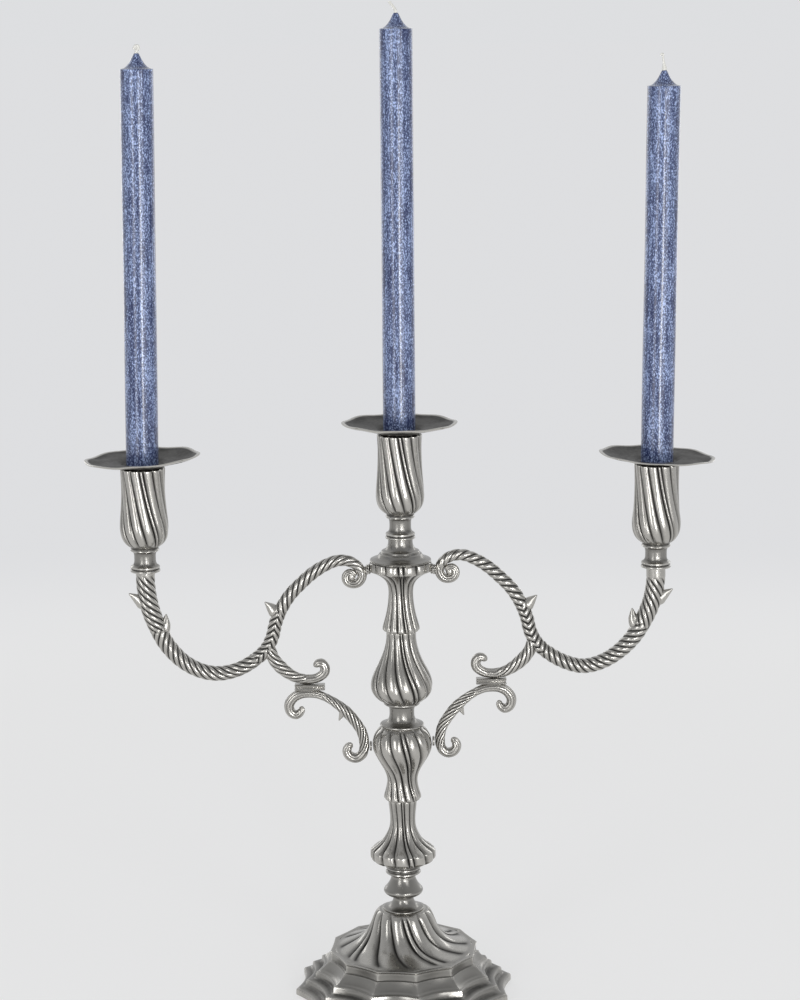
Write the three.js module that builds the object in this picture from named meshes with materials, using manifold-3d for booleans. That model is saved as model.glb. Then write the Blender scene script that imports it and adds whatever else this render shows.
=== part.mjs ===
// Three-light table candelabra, cast in pewter and finished by hand.
// The stem is a stack of hollow castings threaded on one steel tie rod. Two scroll arms
// carry the outer sockets, each braced by a smaller bracket, and every socket holds a
// loose drip pan whose liner takes a 22 mm candle.
// Units are millimetres, +Z is up and the origin is on the table under the stem.
import * as THREE from 'three';
import { mergeVertices } from 'three/addons/utils/BufferGeometryUtils.js';
import Module from 'manifold-3d';

const wasm = await Module();
wasm.setup();

// Clearances
const SEAT_GAP = 0.3;
const PIN_GAP = 0.3;
const LINER_GAP = 0.3;
const CANDLE_GAP = 0.25;

// Candles and wicks
const CANDLE_R = 11;
const CANDLE_SHOULDER_H = 10;
const CANDLE_LENGTH = { centre: 303, left: 300, right: 290 };
const CANDLE_LEAN = { centre: 0, left: 3.6, right: 2.2 };
const WICK_R = 1;
const WICK_LENGTH = 9;
const WICK_ROOT = 3;

// Drip pans with their liners
const PAN_R = 39;
const PAN_THICKNESS = 1.3;
const PAN_RISE = { centre: 8.6, left: 7.8, right: 6.4 };
const PAN_DISH = 3.6;
const PAN_RIM_LIFT = 0.9;
const PAN_LEAN = { centre: 0, left: 2.2, right: -2.4 };
const PAN_WAVES = 8;
const PAN_WAVE = 0.5;
const FUNNEL_R = 19.5;
const LINER_WALL = 0.7;
const LINER_DEPTH = 27;
const LINER_FLOOR = 1;

// Sockets
const SOCKET_HEIGHT = 71;
const SOCKET_MOUTH_R = 15.5;
const SOCKET_WAIST_R = 14.8;
const SOCKET_BELLY_R = 16.5;
const SOCKET_NECK_R = 7.3;
const SOCKET_FOOT_R = 10.2;
const SOCKET_RING_R = 9.5;
const SOCKET_FLUTE = 1.5;
const SOCKET_TWIST = 30;

// Swirl flutes: in every quarter turn one narrow rib and three broad ones
const NARROW_RIB = 10;
const BROAD_RIBS = 3;
const TWIST_EASE = 1.25;

// Stem castings, from the table up
const FOOT_R = 76;
const FOOT_SIDES = 12;
const FOOT_TURN = -5.9;
const FOOT_HEIGHT = 58.6;
const FOOT_RIM = 5.3;
const SIDE_CURVE = 3.3;
const TIER_STEP = 7;
const TIER_RISE = 5.4;
const PLINTH_R = 51.6;
const PLINTH_HEIGHT = 30.4;
const PLINTH_CREASE_Z = 23.8;
const DOME_SEAT_R = 48.2;
const DOME_SEAT_Z = 28.3;
const DOME_SEAT_WIDTH = 4.6;
const DOME_TOP_R = 18.6;
const DOME_WAIST_R = 22.5;
const DOME_FLUTE = 2.2;
const DOME_TWIST = 40;
const FOOT_WALL = 2.6;
const CROWN_WALL = 5;
const SPOOL_HEIGHT = 24;
const SPOOL_FLANGE_R = 14.2;
const SPOOL_NECK_R = 8.4;
const SPOOL_RING_R = 13.8;
const LOWER_TRUMPET_HEIGHT = 55;
const KNOP_R = 22.6;
const KNOP_FLUTE = 1.9;
const COVE_R = 12.3;
const LOWER_TRUMPET_WAIST_R = 8.7;
const LOWER_TRUMPET_TWIST = 22;
const LOWER_BALUSTER_HEIGHT = 52.5;
const LOWER_BELLY_R = 20.6;
const LOWER_BALUSTER_TWIST = 46;
const LIP_R = 12.8;
const TRUMPET_END_R = 10.2;
const COLLAR_HEIGHT = 17;
const COLLAR_R = 15.3;
const COLLAR_NECK_R = 8.6;
const COLLAR_TOP_R = 12.5;
const UPPER_BALUSTER_HEIGHT = 49.5;
const UPPER_BELLY_R = 21.2;
const UPPER_BALUSTER_TWIST = 36;
const UPPER_TRUMPET_HEIGHT = 49.3;
const UPPER_TRUMPET_WAIST_R = 8.3;
const UPPER_TRUMPET_TWIST = 20;
const DISC_R = 21.8;
const DISC_THICKNESS = 7.8;
const STEM_FLUTE = 1.7;
const PEDESTAL_HEIGHT = 15;
const PEDESTAL_R = 21;
const PEDESTAL_NECK_R = 8.4;

// Tie rod, nut and washer inside the foot
const TIE_ROD_R = 3;
const TIE_ROD_INTO_SOCKET = 12;
const NUT_ACROSS = 10;
const NUT_HEIGHT = 5;
const WASHER_R = 9;
const WASHER_THICKNESS = 1.2;
const ROD_PAST_NUT = 3;

// Scroll arms
const ARM_REACH = 172.8;
const ARM_DROP = 78.2;
const ARM_CROWN_ABOVE_DISC = 5.4;
const ARM_CUP_BELOW_CROWN = 8.2;
const ARM_TO_DISC = 0.8;
const ROD_R = { cup: 6.5, bend: 5.3, fork: 4.7, arch: 4.5, curl: 3.7, branch: 3.6, branchRoot: 4.6 };
const ROD_STRANDS = 5;
const ROD_GROOVE = 0.7;
const RING_SPACING = 5.4;
const RING_BEND = 0.55;
const STRAND_SPACING = 4.8;
const STUD_R = 2.5;
const STUD_LENGTH = 20;
const THORN_R = 4.2;
const ROOT_SET = { left: -1.6, right: 1.6 };
const BEND_SET = { left: 2, right: -1.6 };
const BRACE_SET = { left: 0.3, right: -1.2 };

// Brackets, their clasps and the pegs that tie the arms to the stem
const BRACKET_ROD_R = 3.4;
const BRACKET_CROWN_R = 2.9;
const BRACKET_CURL_R = 3.5;
const CLASP_LENGTH = 20.8;
const CLASP_WIDTH = 7.5;
const CLASP_HEIGHT = 2.8;
const PEG_R = 1.3;
const PEG_DEPTH = 6;
const PAD_R = 3.4;
const PAD_THICKNESS = 1.4;

// Materials
const pewter = (name) => new THREE.MeshStandardMaterial({ name, color: 0x9d9a92, roughness: 0.38, metalness: 1 });
const steel = () => new THREE.MeshStandardMaterial({ name: 'steel', color: 0x8a8d90, roughness: 0.45, metalness: 1 });
const wax = () => new THREE.MeshStandardMaterial({ name: 'wax', color: 0x1d3570, roughness: 0.35, metalness: 0 });
const cotton = () => new THREE.MeshStandardMaterial({ name: 'cotton', color: 0xdcd8cc, roughness: 0.9, metalness: 0 });

// Closed geometry to solid and back, for cuts and joins
function toSolid(geometry) {
  const plain = geometry.clone();
  plain.deleteAttribute('normal');
  plain.deleteAttribute('uv');
  const merged = mergeVertices(plain, 1e-4);
  const corners = [];
  const index = merged.index.array;
  for (let i = 0; i < index.length; i += 3) {
    const [a, b, c] = [index[i], index[i + 1], index[i + 2]];
    if (a !== b && b !== c && c !== a) corners.push(a, b, c);
  }
  return new wasm.Manifold(new wasm.Mesh({
    numProp: 3,
    vertProperties: new Float32Array(merged.attributes.position.array),
    triVerts: new Uint32Array(corners),
  }));
}

function toGeometry(solid) {
  const mesh = solid.getMesh();
  const geometry = new THREE.BufferGeometry();
  geometry.setAttribute('position', new THREE.BufferAttribute(mesh.vertProperties, 3));
  geometry.setIndex(new THREE.BufferAttribute(mesh.triVerts, 1));
  return geometry;
}

const join = (geometries) => toGeometry(geometries.map(toSolid).reduce((a, b) => a.add(b)));

function cut(geometry, ...tools) {
  return toGeometry(tools.map(toSolid).reduce((a, b) => a.subtract(b), toSolid(geometry)));
}

// Round bar along Z between two heights, used as pins and as cutters
function bar(radius, bottom, top, sides = 12) {
  const geometry = new THREE.CylinderGeometry(radius, radius, top - bottom, sides);
  geometry.rotateX(Math.PI / 2);
  return geometry.translate(0, 0, (bottom + top) / 2);
}

// Round bar along X between two distances from the stem
function crossBar(radius, inner, outer, height, sides = 8) {
  const geometry = new THREE.CylinderGeometry(radius, radius, outer - inner, sides);
  geometry.rotateZ(Math.PI / 2);
  return geometry.translate((inner + outer) / 2, 0, height);
}

// Lathe-turned solid from [radius, height] pairs that start and end on the axis
function turned(profile, sides = 18) {
  const points = profile.map(([radius, height]) => new THREE.Vector2(radius, height));
  return new THREE.LatheGeometry(points, sides).rotateX(Math.PI / 2);
}

// Angles and depths of the swirl flutes round the axis. A depth of 1 is the bottom of a
// groove, 0 is the crest of a rib. Angle 0 is the front, in the middle of a narrow rib.
function flutePattern() {
  const broad = (90 - NARROW_RIB) / BROAD_RIBS;
  const pattern = [];
  for (let quarter = 0; quarter < 4; quarter += 1) {
    const start = quarter * 90;
    pattern.push({ angle: start, depth: 0.15 });
    for (let rib = 0; rib < BROAD_RIBS; rib += 1) {
      const groove = start + NARROW_RIB / 2 + rib * broad;
      pattern.push({ angle: groove, depth: 1 });
      pattern.push({ angle: groove + broad * 0.32, depth: 0 });
      pattern.push({ angle: groove + broad * 0.68, depth: 0 });
    }
    pattern.push({ angle: start + 90 - NARROW_RIB / 2, depth: 1 });
  }
  return pattern;
}

// Turned casting with swirl flutes. Each row is [radius, height, flute depth], and the
// flutes turn by twist degrees from the top row down along the outline to the bottom row.
function fluted(rows, twist) {
  const pattern = flutePattern();
  const bottom = rows[0][1];
  const top = rows[rows.length - 1][1];
  const profile = [[0, bottom, 0], ...rows, [0, top, 0]];
  const points = profile.map(([radius, height]) => new THREE.Vector2(radius, height));
  const run = rows.map((_, i) => (
    rows.slice(i).reduce((sum, [radius, height], k, rest) => (
      k === 0 ? 0 : sum + Math.hypot(radius - rest[k - 1][0], height - rest[k - 1][1])
    ), 0)
  ));
  const turns = [1, ...run.map((length) => (length / run[0]) ** TWIST_EASE), 0];
  const geometry = new THREE.LatheGeometry(points, pattern.length);
  const position = geometry.attributes.position;
  for (let column = 0; column <= pattern.length; column += 1) {
    const { angle, depth } = pattern[column % pattern.length];
    profile.forEach(([radius, height, groove], row) => {
      const turn = THREE.MathUtils.degToRad(angle + twist * turns[row]);
      const reach = Math.max(radius - groove * depth, 0);
      position.setXYZ(column * profile.length + row, reach * Math.sin(turn), height, reach * Math.cos(turn));
    });
  }
  return geometry.rotateX(Math.PI / 2);
}

// Closed loft through rings of equal point count, with a fan at each end. Where the rings
// turn, hand picks the diagonals that run with the turn.
function loft(rings, hand = 1) {
  const count = rings[0].length;
  const vertices = rings.flat();
  const middle = (ring) => ring.reduce((sum, p) => sum.add(p), new THREE.Vector3()).divideScalar(count);
  const first = vertices.push(middle(rings[0])) - 1;
  const last = vertices.push(middle(rings[rings.length - 1])) - 1;
  const index = [];
  for (let j = 0; j < count; j += 1) {
    const k = (j + 1) % count;
    for (let i = 0; i + 1 < rings.length; i += 1) {
      const [a, b, c, d] = [i * count + j, i * count + k, (i + 1) * count + k, (i + 1) * count + j];
      if (hand < 0) index.push(a, b, c, a, c, d);
      else index.push(a, b, d, b, c, d);
    }
    const end = (rings.length - 1) * count;
    index.push(first, k, j, last, end + j, end + k);
  }
  const geometry = new THREE.BufferGeometry();
  geometry.setAttribute('position', new THREE.Float32BufferAttribute(vertices.flatMap((p) => p.toArray()), 3));
  geometry.setIndex(index);
  return geometry;
}

// Rod along a curve in the XZ plane. radiusAt and grooveAt take the fraction of the
// length, hand is 1 for a right-handed rope, -1 for a left-handed one.
function ropeRod(points, { radiusAt, grooveAt, hand }) {
  const curve = new THREE.CatmullRomCurve3(points, false, 'centripetal');
  curve.arcLengthDivisions = 400;
  const length = curve.getLength();
  const sides = ROD_STRANDS * 2;
  const across = new THREE.Vector3(0, 1, 0);
  const rings = ringPlaces(curve, length).map((part) => {
    const centre = curve.getPointAt(part);
    const tangent = curve.getTangentAt(part);
    const normal = new THREE.Vector3().crossVectors(tangent, across).normalize();
    const turn = hand * 2 * Math.PI * length * part / (STRAND_SPACING * ROD_STRANDS);
    const ring = [];
    for (let j = 0; j < sides; j += 1) {
      const angle = 2 * Math.PI * j / sides + turn;
      const radius = radiusAt(part) - (j % 2) * grooveAt(part);
      ring.push(centre.clone()
        .addScaledVector(normal, -radius * Math.cos(angle))
        .addScaledVector(across, radius * Math.sin(angle)));
    }
    return ring;
  });
  return loft(rings, hand);
}

// Places of a rod's rings as fractions of its length, closer together in a tight bend
function ringPlaces(curve, length) {
  const places = [0];
  while (places[places.length - 1] < 1) {
    const here = places[places.length - 1];
    const ahead = Math.min(here + 2 / length, 1);
    const bend = curve.getTangentAt(here).angleTo(curve.getTangentAt(ahead));
    const step = Math.min(RING_SPACING, 2 * RING_BEND / Math.max(bend, 0.01));
    places.push(here + 1.5 * step / length < 1 ? here + step / length : 1);
  }
  return places;
}

// Value that runs in straight lines through [fraction, value] stops
function ramp(stops) {
  return (part) => {
    const next = stops.findIndex(([at]) => at >= part);
    if (next <= 0) return stops[next === 0 ? 0 : stops.length - 1][1];
    const [[from, low], [to, high]] = [stops[next - 1], stops[next]];
    return THREE.MathUtils.mapLinear(part, from, to, low, high);
  };
}

// Ball end of a scroll
function ball(centre, radius) {
  return new THREE.SphereGeometry(radius, 8, 4).rotateX(Math.PI / 2).translate(centre.x, 0, centre.z);
}

// Thorn that tapers from a root inside the rod to its tip, bent a little like a claw
function thorn(root, tip, radius = THORN_R) {
  const along = new THREE.Vector3().subVectors(tip, root);
  const across = new THREE.Vector3(0, 1, 0);
  const sideways = new THREE.Vector3().crossVectors(along, across).normalize();
  const rings = [[0, 1, 0], [0.5, 0.58, 0.1], [1, 0.1, 0]].map(([part, scale, bow]) => {
    const centre = root.clone().addScaledVector(along, part).addScaledVector(sideways, -bow * along.length());
    return Array.from({ length: 6 }, (_, j) => {
      const angle = 2 * Math.PI * j / 6;
      return centre.clone()
        .addScaledVector(sideways, -radius * scale * Math.cos(angle))
        .addScaledVector(across, radius * scale * 0.75 * Math.sin(angle));
    });
  });
  return loft(rings);
}

// Heights of the joints in the stem
const spoolZ = FOOT_HEIGHT;
const lowerTrumpetZ = spoolZ + SPOOL_HEIGHT;
const lowerBalusterZ = lowerTrumpetZ + LOWER_TRUMPET_HEIGHT;
const collarZ = lowerBalusterZ + LOWER_BALUSTER_HEIGHT;
const upperBalusterZ = collarZ + COLLAR_HEIGHT;
const upperTrumpetZ = upperBalusterZ + UPPER_BALUSTER_HEIGHT;
const discTopZ = upperTrumpetZ + UPPER_TRUMPET_HEIGHT;
const discZ = discTopZ - DISC_THICKNESS / 2;
const pedestalZ = discTopZ;
const centreSocketZ = pedestalZ + PEDESTAL_HEIGHT;
const lowerBellyZ = lowerBalusterZ + LOWER_BALUSTER_HEIGHT * 0.75;
const crownZ = discZ + ARM_CROWN_ABOVE_DISC;
const cupZ = crownZ - ARM_CUP_BELOW_CROWN;

const linerR = CANDLE_R + CANDLE_GAP + LINER_WALL;
const socketBoreR = linerR + LINER_GAP;
const boreR = TIE_ROD_R + PIN_GAP;

// Twelve-sided solid. Each row is [radius to a corner, height, how far the middle of a
// side curves in], and every side is cut into a few flat parts.
const SIDE_PARTS = 3;

function twelveSided(rows) {
  const geometry = turned(rows, FOOT_SIDES * SIDE_PARTS);
  const position = geometry.attributes.position;
  const half = Math.PI / FOOT_SIDES;
  for (let i = 0; i < position.count; i += 1) {
    const [radius, , curve = 0] = rows[i % rows.length];
    const along = 2 * ((Math.floor(i / rows.length) % SIDE_PARTS) / SIDE_PARTS) - 1;
    const flat = Math.cos(half) / Math.cos(along * half);
    const scale = radius > 0 ? flat - curve * (1 - along ** 2) / radius : 1;
    position.setXY(i, position.getX(i) * scale, position.getY(i) * scale);
  }
  return geometry.rotateZ(THREE.MathUtils.degToRad(FOOT_TURN - 180 / FOOT_SIDES));
}

// Stepped plinth under the dome, hollow below, with a seat for the dome's flange
function plinthGeometry() {
  const tierTop = (i) => FOOT_RIM + i * TIER_RISE;
  const tierR = (i) => FOOT_R - i * TIER_STEP;
  const deep = SIDE_CURVE;
  const tread = (i) => [[tierR(i), tierTop(i) - 0.6, deep], [tierR(i + 1) + 0.9, tierTop(i) + 0.8, deep]];
  const [edge, crease] = [PLINTH_R, PLINTH_CREASE_Z];
  const body = twelveSided([
    [0, 0], [FOOT_R, 0, deep], ...tread(0), ...tread(1),
    [tierR(2), tierTop(2) - 0.6, deep], [tierR(2) - 2, tierTop(2) + 0.6, deep * 0.95],
    [edge + 3, crease - 3.6, deep * 0.7], [edge + 0.8, crease - 0.3, deep * 0.5],
    [edge - 0.5, crease + 0.3, deep * 0.5], [edge - 0.5, PLINTH_HEIGHT - 1.6, deep * 0.2],
    [edge, PLINTH_HEIGHT - 0.9, deep * 0.1], [edge - 0.4, PLINTH_HEIGHT, deep * 0.1], [0, PLINTH_HEIGHT],
  ]);
  const inner = DOME_SEAT_R - DOME_SEAT_WIDTH;
  const hollow = twelveSided([
    [0, -1], [FOOT_R - FOOT_WALL - 3, -1, deep], [FOOT_R - FOOT_WALL - 3, FOOT_RIM - 2, deep],
    [tierR(2) - FOOT_WALL - 1.8, tierTop(2) - FOOT_WALL - 0.6, deep * 0.95],
    [edge - FOOT_WALL - 1.4, crease, deep * 0.5], [inner + 0.6, DOME_SEAT_Z - FOOT_WALL, 0], [0, DOME_SEAT_Z - FOOT_WALL],
  ]);
  const hole = bar(inner, DOME_SEAT_Z - FOOT_WALL - 1, PLINTH_HEIGHT + 1, 36);
  const seat = bar(DOME_SEAT_R, DOME_SEAT_Z, PLINTH_HEIGHT + 1, 48);
  return cut(body, hollow, hole, seat);
}

// Fluted dome whose flange rests in the plinth's seat
const domeCeiling = FOOT_HEIGHT - CROWN_WALL;

function domeGeometry() {
  const edge = DOME_SEAT_R - SEAT_GAP;
  const bottom = DOME_SEAT_Z + SEAT_GAP;
  const rise = FOOT_HEIGHT - PLINTH_HEIGHT;
  const flare = (part) => PLINTH_HEIGHT + rise * part;
  const dome = fluted([
    [edge, bottom, 0],
    [edge, flare(-0.01), 0],
    [edge * 0.84, flare(0.08), DOME_FLUTE * 0.9],
    [edge * 0.65, flare(0.19), DOME_FLUTE],
    [DOME_WAIST_R * 1.12, flare(0.38), DOME_FLUTE],
    [DOME_WAIST_R * 0.94, flare(0.68), DOME_FLUTE * 0.9],
    [DOME_TOP_R, flare(0.93), DOME_FLUTE * 0.6],
    [DOME_TOP_R * 0.84, flare(1), 0],
  ], DOME_TWIST);
  const hollow = turned([
    [0, bottom - 1], [edge - 6.5, bottom - 1], [edge - 8, bottom],
    [DOME_WAIST_R + 4, PLINTH_HEIGHT + 0.8],
    [DOME_WAIST_R - DOME_FLUTE - FOOT_WALL, flare(0.33)],
    [DOME_TOP_R - DOME_FLUTE - FOOT_WALL, domeCeiling], [0, domeCeiling],
  ], 24);
  return cut(dome, hollow, bar(boreR, domeCeiling - 1, FOOT_HEIGHT + 1));
}

// Turned spool between the foot and the knop
function spoolGeometry() {
  const h = SPOOL_HEIGHT;
  const body = turned([
    [0, 0], [SPOOL_FLANGE_R, 0], [SPOOL_FLANGE_R, 1], [SPOOL_NECK_R + 1.2, h * 0.14],
    [SPOOL_NECK_R - 0.7, h * 0.26], [SPOOL_NECK_R - 0.7, h * 0.4], [SPOOL_RING_R - 1.8, h * 0.46],
    [SPOOL_RING_R, h * 0.58], [SPOOL_NECK_R + 1.6, h * 0.84], [SPOOL_NECK_R, h], [0, h],
  ]);
  return cut(body, bar(boreR, -1, h + 1));
}

// Lobed knop with a cove below and a fluted trumpet above
function lowerTrumpetGeometry() {
  const h = LOWER_TRUMPET_HEIGHT;
  const waist = LOWER_TRUMPET_WAIST_R;
  const f = STEM_FLUTE;
  const knop = fluted([
    [COVE_R - 0.9, h * 0.17, 0],
    [KNOP_R * 0.93, h * 0.215, KNOP_FLUTE],
    [KNOP_R, h * 0.27, KNOP_FLUTE],
    [KNOP_R * 0.99, h * 0.345, KNOP_FLUTE],
    [waist * 1.6, h * 0.465, f],
    [waist, h * 0.68, f * 0.7],
    [TRUMPET_END_R, h, f * 0.6],
  ], LOWER_TRUMPET_TWIST);
  const cove = turned([
    [0, 0], [SPOOL_NECK_R, 0], [COVE_R, h * 0.045], [COVE_R - 1.1, h * 0.075], [COVE_R - 0.4, h * 0.11],
    [COVE_R - 1.1, h * 0.18], [0, h * 0.2],
  ], 16);
  return cut(join([knop, cove]), bar(boreR, -1, h + 1));
}

// Fluted baluster with its belly near the top and a lip at the bottom
function lowerBalusterGeometry() {
  const h = LOWER_BALUSTER_HEIGHT;
  const belly = LOWER_BELLY_R;
  const f = STEM_FLUTE;
  const body = fluted([
    [LIP_R - 0.9, 0, f],
    [LIP_R, h * 0.05, f],
    [LIP_R * 0.84, h * 0.27, f * 0.9],
    [belly * 0.86, h * 0.57, f * 1.1],
    [belly, h * 0.75, f * 1.1],
    [belly * 0.93, h * 0.88, f],
    [COLLAR_R * 0.95, h, f * 0.3],
  ], LOWER_BALUSTER_TWIST);
  return cut(body, bar(boreR, -1, h + 1));
}

// Turned collar at the waist of the stem
function collarGeometry() {
  const h = COLLAR_HEIGHT;
  const body = turned([
    [0, 0], [COLLAR_R, 0], [COLLAR_R, h * 0.08], [COLLAR_R * 0.76, h * 0.18],
    [COLLAR_NECK_R, h * 0.4], [COLLAR_NECK_R + 0.2, h * 0.66], [COLLAR_TOP_R - 1.4, h * 0.84],
    [COLLAR_TOP_R, h * 0.92], [COLLAR_TOP_R, h], [0, h],
  ]);
  return cut(body, bar(boreR, -1, h + 1));
}

// Fluted pear above the collar
function upperBalusterGeometry() {
  const h = UPPER_BALUSTER_HEIGHT;
  const belly = UPPER_BELLY_R;
  const f = STEM_FLUTE;
  const body = fluted([
    [COLLAR_TOP_R * 0.94, 0, f * 0.4],
    [belly * 0.86, h * 0.08, f],
    [belly, h * 0.22, f * 1.1],
    [belly * 0.9, h * 0.41, f],
    [belly * 0.66, h * 0.62, f],
    [TRUMPET_END_R, h * 0.9, f * 0.7],
    [TRUMPET_END_R, h, f * 0.7],
  ], UPPER_BALUSTER_TWIST);
  return cut(body, bar(boreR, -1, h + 1));
}

// Fluted trumpet with a lip below and the lobed disc that carries the arms above
function upperTrumpetGeometry() {
  const h = UPPER_TRUMPET_HEIGHT;
  const neck = h - DISC_THICKNESS;
  const waist = UPPER_TRUMPET_WAIST_R;
  const f = STEM_FLUTE;
  const body = fluted([
    [LIP_R - 0.9, 0, f],
    [LIP_R, neck * 0.055, f],
    [LIP_R * 0.88, neck * 0.2, f * 0.9],
    [waist, neck * 0.64, f * 0.7],
    [waist * 1.2, neck * 0.8, f * 0.8],
    [waist * 1.75, neck * 0.92, f],
    [DISC_R * 0.9, neck, KNOP_FLUTE],
    [DISC_R, neck + DISC_THICKNESS * 0.25, KNOP_FLUTE],
    [DISC_R - 0.6, h, KNOP_FLUTE],
  ], UPPER_TRUMPET_TWIST);
  const pegHole = crossBar(PEG_R + PIN_GAP, DISC_R - PEG_DEPTH, DISC_R + 2, h - DISC_THICKNESS / 2);
  const otherHole = pegHole.clone().rotateZ(Math.PI);
  return cut(body, bar(boreR, -1, h + 1), pegHole, otherHole);
}

// Stepped cone that lifts the centre socket off the disc
function pedestalGeometry() {
  const h = PEDESTAL_HEIGHT;
  const body = turned([
    [0, 0], [PEDESTAL_R, 0], [PEDESTAL_R - 0.4, h * 0.05], [PEDESTAL_R * 0.78, h * 0.16],
    [PEDESTAL_R * 0.7, h * 0.28], [PEDESTAL_R * 0.65, h * 0.32], [PEDESTAL_R * 0.63, h * 0.42],
    [PEDESTAL_R * 0.56, h * 0.46], [PEDESTAL_NECK_R + 1.2, h * 0.6], [PEDESTAL_NECK_R + 0.2, h * 0.74],
    [PEDESTAL_NECK_R, h], [0, h],
  ]);
  return cut(body, bar(boreR, -1, h + 1));
}

// Socket: turned foot and neck under a fluted cup that is bored for the liner
function socketGeometry(holeR, holeDepth) {
  const h = SOCKET_HEIGHT;
  const stemH = h * 0.26;
  const f = SOCKET_FLUTE;
  const foot = turned([
    [0, 0], [SOCKET_FOOT_R, 0], [SOCKET_FOOT_R - 0.3, h * 0.055], [SOCKET_NECK_R, h * 0.085],
    [SOCKET_NECK_R, h * 0.17], [SOCKET_RING_R - 1, h * 0.195], [SOCKET_RING_R, h * 0.225],
    [SOCKET_NECK_R, stemH], [0, stemH + 2],
  ], 16);
  const cupH = h - stemH;
  const up = (part) => stemH + cupH * part;
  const cup = fluted([
    [SOCKET_NECK_R + 1, up(-0.02), 0],
    [SOCKET_BELLY_R * 0.86, up(0.05), f],
    [SOCKET_BELLY_R, up(0.22), f * 1.1],
    [SOCKET_WAIST_R, up(0.56), f],
    [SOCKET_MOUTH_R, up(1), f * 0.9],
  ], SOCKET_TWIST);
  const bore = bar(socketBoreR, h - LINER_DEPTH - 2 * SEAT_GAP, h + 1, 16);
  return cut(join([foot, cup]), bore, bar(holeR, -1, holeDepth));
}

// Drip pan: a dished plate with a softly waved rim and a closed liner for the candle.
// Height 0 is the top of the socket mouth that it sits on.
function panGeometry(rise, lean) {
  const t = PAN_THICKNESS;
  const dishZ = rise - PAN_DISH;
  const innerR = CANDLE_R + CANDLE_GAP;
  const profile = [
    [0, -LINER_DEPTH], [linerR, -LINER_DEPTH], [linerR, SEAT_GAP], [socketBoreR + 1.1, SEAT_GAP],
    [FUNNEL_R, dishZ - t], [PAN_R - 1.5, rise - PAN_RIM_LIFT - t * 0.7], [PAN_R, rise],
    [PAN_R - 2.4, rise - PAN_RIM_LIFT], [FUNNEL_R, dishZ], [innerR, SEAT_GAP + t],
    [innerR, -LINER_DEPTH + LINER_FLOOR], [0, -LINER_DEPTH + LINER_FLOOR],
  ];
  const geometry = turned(profile, PAN_WAVES * 3);
  const position = geometry.attributes.position;
  for (let i = 0; i < position.count; i += 1) {
    const [x, y, z] = [position.getX(i), position.getY(i), position.getZ(i)];
    const outward = THREE.MathUtils.smoothstep(Math.hypot(x, y), FUNNEL_R, PAN_R);
    const wave = Math.cos(PAN_WAVES * Math.atan2(y, x));
    const inset = 1 - outward * (1 - wave) * PAN_WAVE / PAN_R;
    const lift = outward * (PAN_WAVE * wave + lean * x / PAN_R);
    position.setXYZ(i, x * inset, y * inset, z + lift);
  }
  return geometry;
}

// Dinner candle with a conical tip, standing on the liner floor.
// Above the pan it leans sideways by lean over its length.
function leaning(geometry, lean, length) {
  const position = geometry.attributes.position;
  for (let i = 0; i < position.count; i += 1) {
    const above = Math.max(position.getZ(i) - LINER_DEPTH, 0);
    position.setX(i, position.getX(i) + lean * above / (length - LINER_DEPTH));
  }
  return geometry;
}

function candleGeometry(length, lean) {
  const shoulder = length - CANDLE_SHOULDER_H;
  const body = turned([
    [0, 0], [CANDLE_R, 0], [CANDLE_R, LINER_DEPTH], [CANDLE_R, shoulder],
    [CANDLE_R * 0.6, shoulder + CANDLE_SHOULDER_H * 0.28], [WICK_R + 1, length], [0, length],
  ], 16);
  const wickHole = bar(WICK_R + PIN_GAP, length - WICK_ROOT - SEAT_GAP, length + 1, 6);
  return leaning(cut(body, wickHole), lean, length);
}

function wickGeometry(length, lean) {
  const rings = [[0, 0], [0.4, 0], [0.75, 0.8], [1, 2.2]].map(([part, curl]) => (
    Array.from({ length: 6 }, (_, j) => new THREE.Vector3(
      curl + WICK_R * Math.cos(Math.PI * j / 3),
      WICK_R * Math.sin(Math.PI * j / 3),
      length - WICK_ROOT + part * (WICK_LENGTH + WICK_ROOT),
    ))
  ));
  return leaning(loft(rings), lean, length);
}

// Tie rod and what holds it
function nutGeometry() {
  const shape = new THREE.Shape();
  const corner = NUT_ACROSS / 2 / Math.cos(Math.PI / 6);
  for (let i = 0; i < 6; i += 1) {
    const angle = Math.PI * i / 3;
    shape[i === 0 ? 'moveTo' : 'lineTo'](corner * Math.cos(angle), corner * Math.sin(angle));
  }
  shape.closePath();
  const hole = new THREE.Path().absarc(0, 0, boreR, 0, 2 * Math.PI, true);
  shape.holes.push(hole);
  const bevel = { bevelEnabled: false, depth: NUT_HEIGHT, curveSegments: 8 };
  return new THREE.ExtrudeGeometry(shape, bevel);
}

function washerGeometry() {
  return cut(bar(WASHER_R, 0, WASHER_THICKNESS, 20), bar(boreR, -1, WASHER_THICKNESS + 1));
}

// The arm is drawn on a grid: across 0 is the disc edge and 1 the socket axis, down 0 is
// the crown of the arch and 1 the bottom of the bend. Each arm was bent a little by hand
// as it was fitted, which moves its root up or down and its bend in or out.
const BEND_FROM = 0.6;

function armPoint(side) {
  const inner = DISC_R + ARM_TO_DISC;
  return (across, down) => {
    const outer = THREE.MathUtils.clamp((across - BEND_FROM) / (1 - BEND_FROM), 0, 1);
    const x = THREE.MathUtils.lerp(inner, ARM_REACH, across) + BEND_SET[side] * Math.sin(Math.PI * outer);
    const root = THREE.MathUtils.lerp(ROOT_SET[side], 0, outer ** 2);
    return new THREE.Vector3(x, 0, crownZ - ARM_DROP * down + root);
  };
}

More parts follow.
